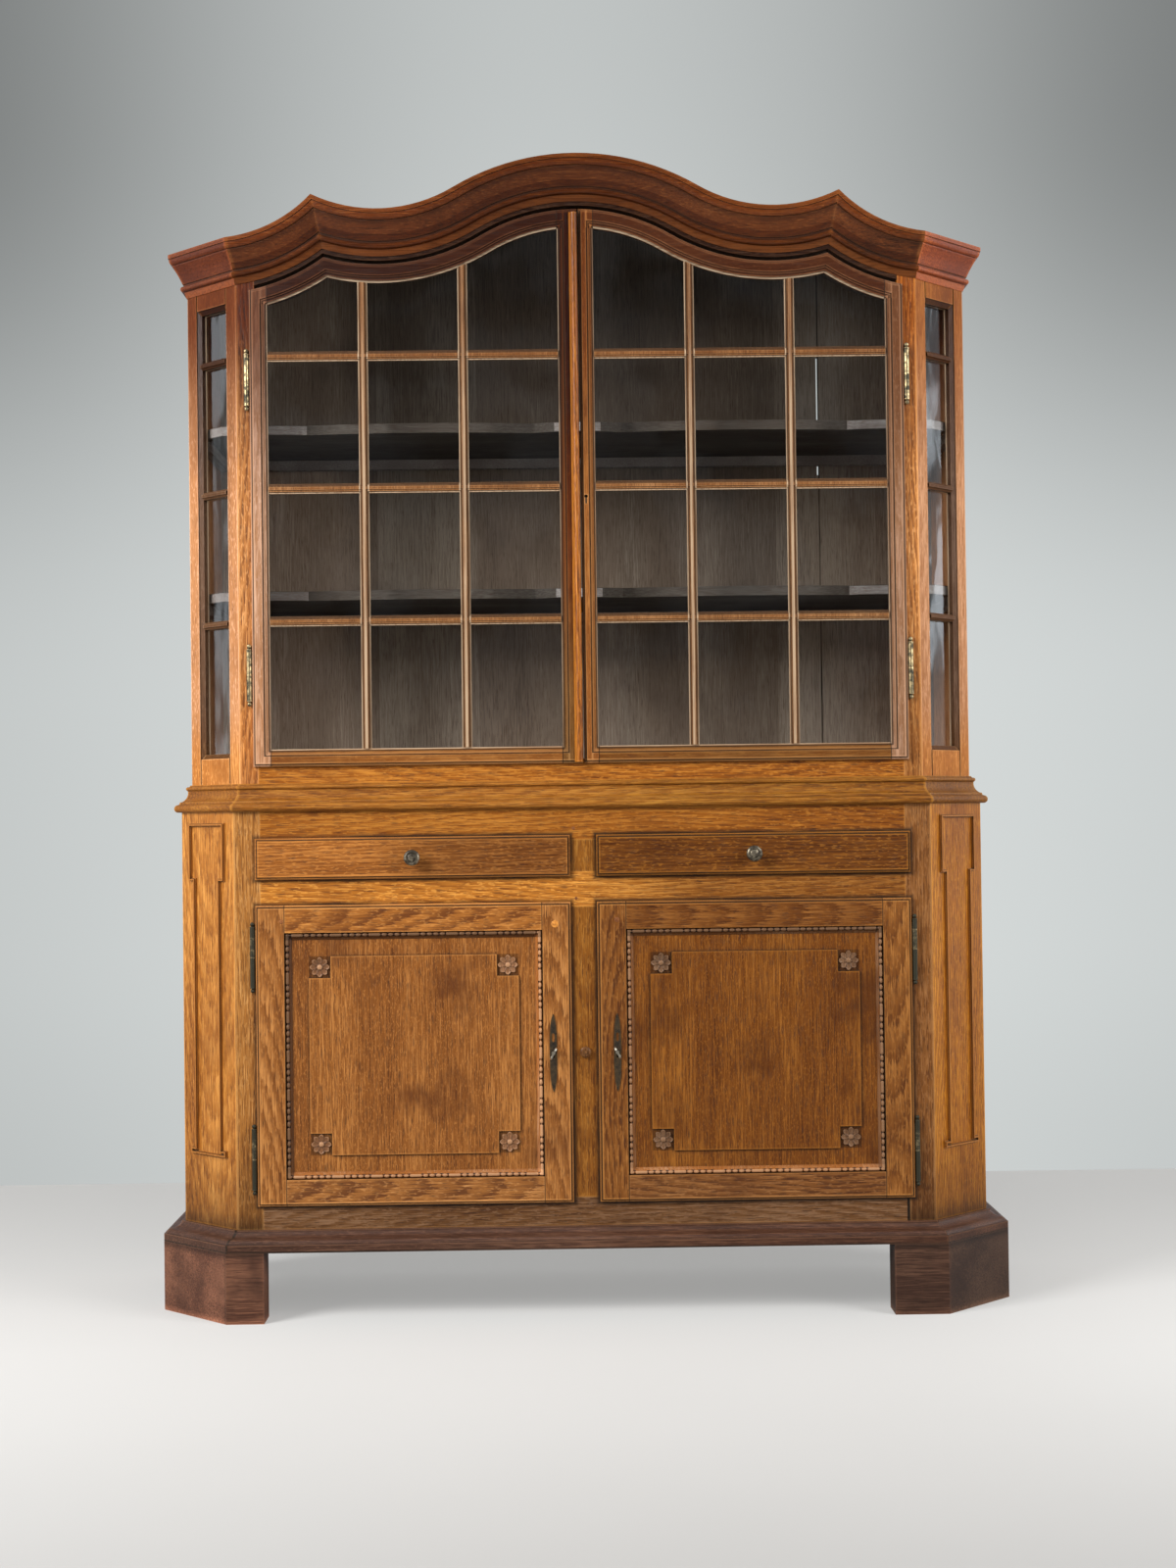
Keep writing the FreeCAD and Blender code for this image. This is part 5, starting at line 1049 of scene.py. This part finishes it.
def rosette(cx, cz, y_seat, sizes):
    """Eight scooped petals round a dome, over r from 0 to 1 and the turn a from 0 to 2 pi.

    The edge is R * (edge_mean + edge_wave * cos(8 a)); a petal's height rises to its rim with the cube of
    the way there and drops in the groove between two petals.
    """
    petals = 8
    edge_mean = 0.89
    edge_wave = 0.11
    dome = 0.27
    dome_foot = 0.42
    dome_rise = 0.58
    rim_narrow = 0.92
    groove_start = 0.80
    groove_width = 0.20
    petal_floor = 0.34
    petal_rise = 0.50
    groove_drop = 0.46
    edge_fall = 0.06
    steps_round = 16 * petals
    steps_out = 30
    turn = np.linspace(0.0, 2.0 * math.pi, steps_round, endpoint=False)[None, :]
    share = np.linspace(0.0, 1.0, steps_out)[:, None]
    edge = edge_mean + edge_wave * np.cos(petals * turn)
    side = np.abs(np.mod(turn * petals / (2.0 * math.pi) + 0.5, 1.0) - 0.5) * 2.0
    along = np.clip((share - dome) / (1.0 - dome), 0.0, 1.0)
    rim = np.maximum(side * rim_narrow, along) ** 3.0
    groove = np.clip((side - groove_start) / groove_width, 0.0, 1.0) ** 1.5
    petal = petal_floor + petal_rise * rim - groove_drop * groove
    ball = np.sqrt(np.clip(1.0 - (share / dome) ** 2.0, 0.0, 1.0))
    height = np.where(share < dome, dome_foot + dome_rise * ball, petal)
    height = height * np.clip((1.0 - share) / edge_fall, 0.0, 1.0) ** 0.5
    radius = sizes.rosette_radius * share * (1.0 + (edge - 1.0) * along)
    points = np.stack((cx + radius * np.cos(turn), y_seat - sizes.rosette_height * height,
                       cz + radius * np.sin(turn)), axis=-1)
    middle = np.broadcast_to(np.array((cx, y_seat, cz)), points[-1:].shape)
    points = np.concatenate((points, middle))
    return points, closed_grid(points, False), np.concatenate((height, height[-1:]))


def peg(cx, y_face, cz, radius):
    """Low dome: height rise * sqrt(1 - r^2) over a disc, closed by a flat back sunk in the wood."""
    rise = radius * 0.12
    sink = 0.0006
    steps_round = 24
    turn = np.linspace(0.0, 2.0 * math.pi, steps_round, endpoint=False)[None, :]
    share = np.array((0.0, 0.35, 0.6, 0.8, 0.92, 1.0, 1.0, 0.0))[:, None]
    lift = np.sqrt(np.clip(1.0 - share ** 2.0, 0.0, 1.0)) * rise
    lift[-2:] = -sink
    shape = np.broadcast_to(lift, (len(share), steps_round))
    points = np.stack((cx + radius * share * np.cos(turn), y_face - shape,
                       cz + radius * share * np.sin(turn)), axis=-1)
    return points, closed_grid(points, False), np.zeros(points.shape[:2])


class CarveTrim(bpy.types.Operator):
    """Carve the bead strips and rosettes of the lower doors"""
    bl_idname = "cabinet.carve_trim"
    bl_label = "Carve trim"

    def execute(self, context):
        sizes = context.scene.trim_sizes
        width = sizes.strip_width
        carving = dict(wear_and_highlight=0.0, dirt_and_shade=0.8, reach=0.30, relief=True)
        for seed, (side, sign) in enumerate(SIDES):
            body = f"base_door_{side}"
            x0, x1, z0, z1 = front_rectangle(f"{body}_carving")
            y_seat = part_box(f"{body}_carving")[1][1]
            # Painted light from the upper left: top strips darker, bottom strips lighter, strips by the locks
            # lighter than the outer ones; rosettes lighter on the left door and darker on the right one
            left_light, right_light, rosette_light = (1.0, 0.8, 0.62) if sign > 0.0 else (0.5, 1.7, 1.25)
            painted_light_sides = (toned(left_light, ("x", x0, x0 + width)), toned(right_light, ("x", x1 - width, x1)),
                   toned(0.5, ("z", z1 - width, z1)), toned(1.4, ("z", z0, z0 + width)))
            tones = tone_set("russet")[:2] + tone_set("carved")[2:]
            carved = oak(f"oak_strips_{side}", tones, "up", 60 + seed, flecks=0.1, figure=0.3, crisp=0.5,
                         shades=painted_light_sides, tint=0.85, **carving)
            shell = bead_strips(x0, x1, z0, z1, y_seat, sizes)
            strips = piece_from(f"{body}_strips", [shell], body, carved)
            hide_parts(f"{body}_carving")
            shells = [rosette(cx, cz, y_seat, sizes) for cx, cz in rosette_places(side)]
            aged = oak(f"oak_rosettes_{side}", tone_set("carved"), "up", 64 + seed, flecks=0.0, figure=0.0,
                       crisp=0.4, shades=(toned(rosette_light),), **carving)
            piece_from(f"{body}_rosettes", shells, body, aged)
        return {"FINISHED"}


class SetPegs(bpy.types.Operator):
    """Set the dowels and nail heads that show on the front"""
    bl_idname = "cabinet.set_pegs"
    bl_label = "Set pegs"

    def execute(self, context):
        pale = oak("oak_dowel", tone_set("gold"), "deep", 71, tint=1.35, dirt_and_shade=0.2)
        dull = oak("oak_peg", tone_set("dark"), "deep", 72, dirt_and_shade=0.4)
        door_face = -0.212
        case_face = -0.200
        pegs = (
            ("dowel_left", "base_door_left", -0.0562, door_face, 0.7573, 0.0073, pale, "oak_gold"),
            ("peg_right", "base_door_right", 0.0638, door_face, 0.7640, 0.0050, dull, "oak_dark"),
            ("peg_left_outer", "base_door_left", -0.5850, door_face, 0.7681, 0.0042, dull, "oak_dark"),
            ("peg_mid_rail", "carcase", -0.0144, case_face, 0.8058, 0.0030, dull, "oak_dark"),
            ("peg_top_rail", "carcase", -0.0184, case_face, 0.9420, 0.0034, dull, "oak_dark"),
        )
        for name, body, cx, y_face, cz, radius, material, slot in pegs:
            piece_from(name, [peg(cx, y_face, cz, radius)], body, material)
        return {"FINISHED"}


def lamp(name, place, size, power):
    """Soft square lamp looking at the middle of the cabinet."""
    data = bpy.data.lights.new(name, "AREA")
    data.energy = power
    data.size = size
    item = bpy.data.objects.new(name, data)
    item.location = place
    item.rotation_euler = (Vector(LAMP_TARGET) - Vector(place)).to_track_quat("-Z", "Y").to_euler()
    bpy.context.scene.collection.objects.link(item)


class BuildStage(bpy.types.Operator):
    """Lay the floor, hang the backdrop, and set the lamps and the camera"""
    bl_idname = "cabinet.build_stage"
    bl_label = "Build stage"

    def execute(self, context):
        scene = context.scene
        settings = scene.stage_settings
        scene.view_settings.view_transform = "Standard"
        self.floor(settings)
        self.backdrop(scene, settings)
        lamp("key_lamp", KEY_PLACE, KEY_SIZE, settings.key_power)
        lamp("fill_lamp", FILL_PLACE, FILL_SIZE, settings.fill_power)
        self.camera(scene, settings)
        return {"FINISHED"}

    def floor(self, settings):
        """Pale floor, with a glow that only the camera sees, fading forwards and to the back."""
        tree = shader_tree("pale_floor")
        whole, x, y, _ = tree.place()
        cloud = tree.ramp(tree.noise(whole, *FLOOR_CLOUDS), *CLOUD_SHARE)
        shade = tree.blend(cloud, opaque(settings.floor), opaque(settings.floor, CLOUD_TONE))
        seen = tree.add("ShaderNodeLightPath").outputs["Is Camera Ray"]
        glow = tree.times(tree.ramp(y, *GLOW_IN_FRONT), tree.ramp(y, *GLOW_BEHIND),
                          tree.ramp(x, *GLOW_ON_RIGHT), settings.floor_glow, seen)
        shader = tree.principled(Base_Color=shade, Roughness=0.75, Specular_IOR_Level=0.2,
                                 Emission_Color=GLOW_TINT, Emission_Strength=glow)
        points = [(-FLOOR_HALF_WIDTH, FLOOR_FRONT, 0.0), (FLOOR_HALF_WIDTH, FLOOR_FRONT, 0.0),
                  (FLOOR_HALF_WIDTH, FLOOR_BACK, 0.0), (-FLOOR_HALF_WIDTH, FLOOR_BACK, 0.0)]
        mesh = bpy.data.meshes.new("floor")
        mesh.from_pydata(points, [], [(0, 1, 2, 3)])
        mesh.materials.append(tree.output(shader))
        floor = bpy.data.objects.new("floor", mesh)
        bpy.context.scene.collection.objects.link(floor)

    def backdrop(self, scene, settings):
        """Even light for the object; the camera sees the pale backdrop, glass and metal mirror a dim room.

        x, y and z are the parts of the direction in which a ray leaves the scene.
        """
        tree = Tree(bpy.data.worlds.new("studio"))
        path = tree.add("ShaderNodeLightPath")
        x, y, z = tree.place("Generated")[1:]
        passed = path.outputs["Is Transmission Ray"]
        behind = tree.above(y, 0.0)
        seen = tree.most(path.outputs["Is Camera Ray"], tree.times(passed, behind))
        reflected = tree.most(path.outputs["Is Glossy Ray"], passed)

        def background(paint, strength):
            return tree.fill(tree.add("ShaderNodeBackground"), paint, strength)

        beside = tree.size(x)
        dark_corner = tree.times(tree.ramp(beside, *CORNER_BESIDE), tree.ramp(z, *CORNER_UP))
        wall = tree.times(tree.minus(1.0, dark_corner), tree.ramp(z, *WALL_UP),
                          tree.ramp(beside, *WALL_BESIDE), tree.ramp(x, *WALL_RIGHT),
                          tree.ramp(z, *WALL_FOOT))
        streaks = tree.noise(tree.vector(x, tree.times(y, ROOM_STRETCH), z), *ROOM_NOISE)
        room = tree.times(tree.ramp(y, *ROOM_FRONT), tree.ramp(y, *ROOM_BACK),
                          tree.ramp(x, *ROOM_RIGHT), tree.ramp(streaks, *ROOM_STREAKS))
        even = background(EVEN_LIGHT, settings.sky)
        mirrored = background(ROOM_TINT, room)
        view = background(opaque(settings.wall), wall)
        light = tree.choose(reflected, even, mirrored)
        scene.world = tree.output(tree.choose(seen, light, view), "ShaderNodeOutputWorld")

    def camera(self, scene, settings):
        """Camera at its place, turned by yaw and pitch and then rolled about its own axis."""
        yaw, pitch, roll = (math.radians(angle) for angle in CAMERA_ANGLES)
        ahead = Vector((math.sin(yaw) * math.cos(pitch), math.cos(yaw) * math.cos(pitch), math.sin(pitch)))
        right = Vector((math.cos(yaw), -math.sin(yaw), 0.0))
        up = right.cross(ahead)
        level = math.cos(roll) * right + math.sin(roll) * up
        upright = math.cos(roll) * up - math.sin(roll) * right
        turn = Matrix((level, upright, -ahead)).transposed().to_4x4()
        data = bpy.data.cameras.new("photo_camera")
        data.lens = settings.lens
        data.sensor_width = SENSOR_WIDTH
        data.clip_end = CLIP_END
        item = bpy.data.objects.new("photo_camera", data)
        item.matrix_world = Matrix.Translation(Vector(CAMERA_PLACE)) @ turn
        scene.collection.objects.link(item)
        scene.camera = item


class CabinetPanel(bpy.types.Panel):
    """Lists the steps that dress the cabinet"""
    bl_idname = "VIEW3D_PT_cabinet"
    bl_label = "Display cabinet"
    bl_space_type = "VIEW_3D"
    bl_region_type = "UI"
    bl_category = "Cabinet"

    def draw(self, context):
        for step in STEPS:
            self.layout.operator(step.bl_idname)
        for group, _ in GROUPS:
            settings = getattr(context.scene, group)
            for key in settings.bl_rna.properties.keys():
                if key not in ("rna_type", "name"):
                    self.layout.prop(settings, key)


STEPS = (FinishOak, FinishMetal, FinishGlass, CarveTrim, SetPegs, BuildStage)
GROUPS = (("oak_tones", OakTones), ("oak_grain", OakGrain), ("trim_sizes", TrimSizes),
          ("stage_settings", StageSettings))


def register():
    """Registers the settings, the steps and the panel."""
    for key, group in GROUPS:
        bpy.utils.register_class(group)
        setattr(bpy.types.Scene, key, bpy.props.PointerProperty(type=group))
    for item in STEPS + (CabinetPanel,):
        bpy.utils.register_class(item)


def unregister():
    """Takes them away again, last first."""
    for item in reversed(STEPS + (CabinetPanel,)):
        bpy.utils.unregister_class(item)
    for key, group in reversed(GROUPS):
        delattr(bpy.types.Scene, key)
        bpy.utils.unregister_class(group)


def main():
    register()
    bpy.ops.cabinet.finish_oak()
    bpy.ops.cabinet.finish_metal()
    bpy.ops.cabinet.finish_glass()
    bpy.ops.cabinet.carve_trim()
    bpy.ops.cabinet.set_pegs()
    bpy.ops.cabinet.build_stage()


if __name__ == "__main__":
    main()
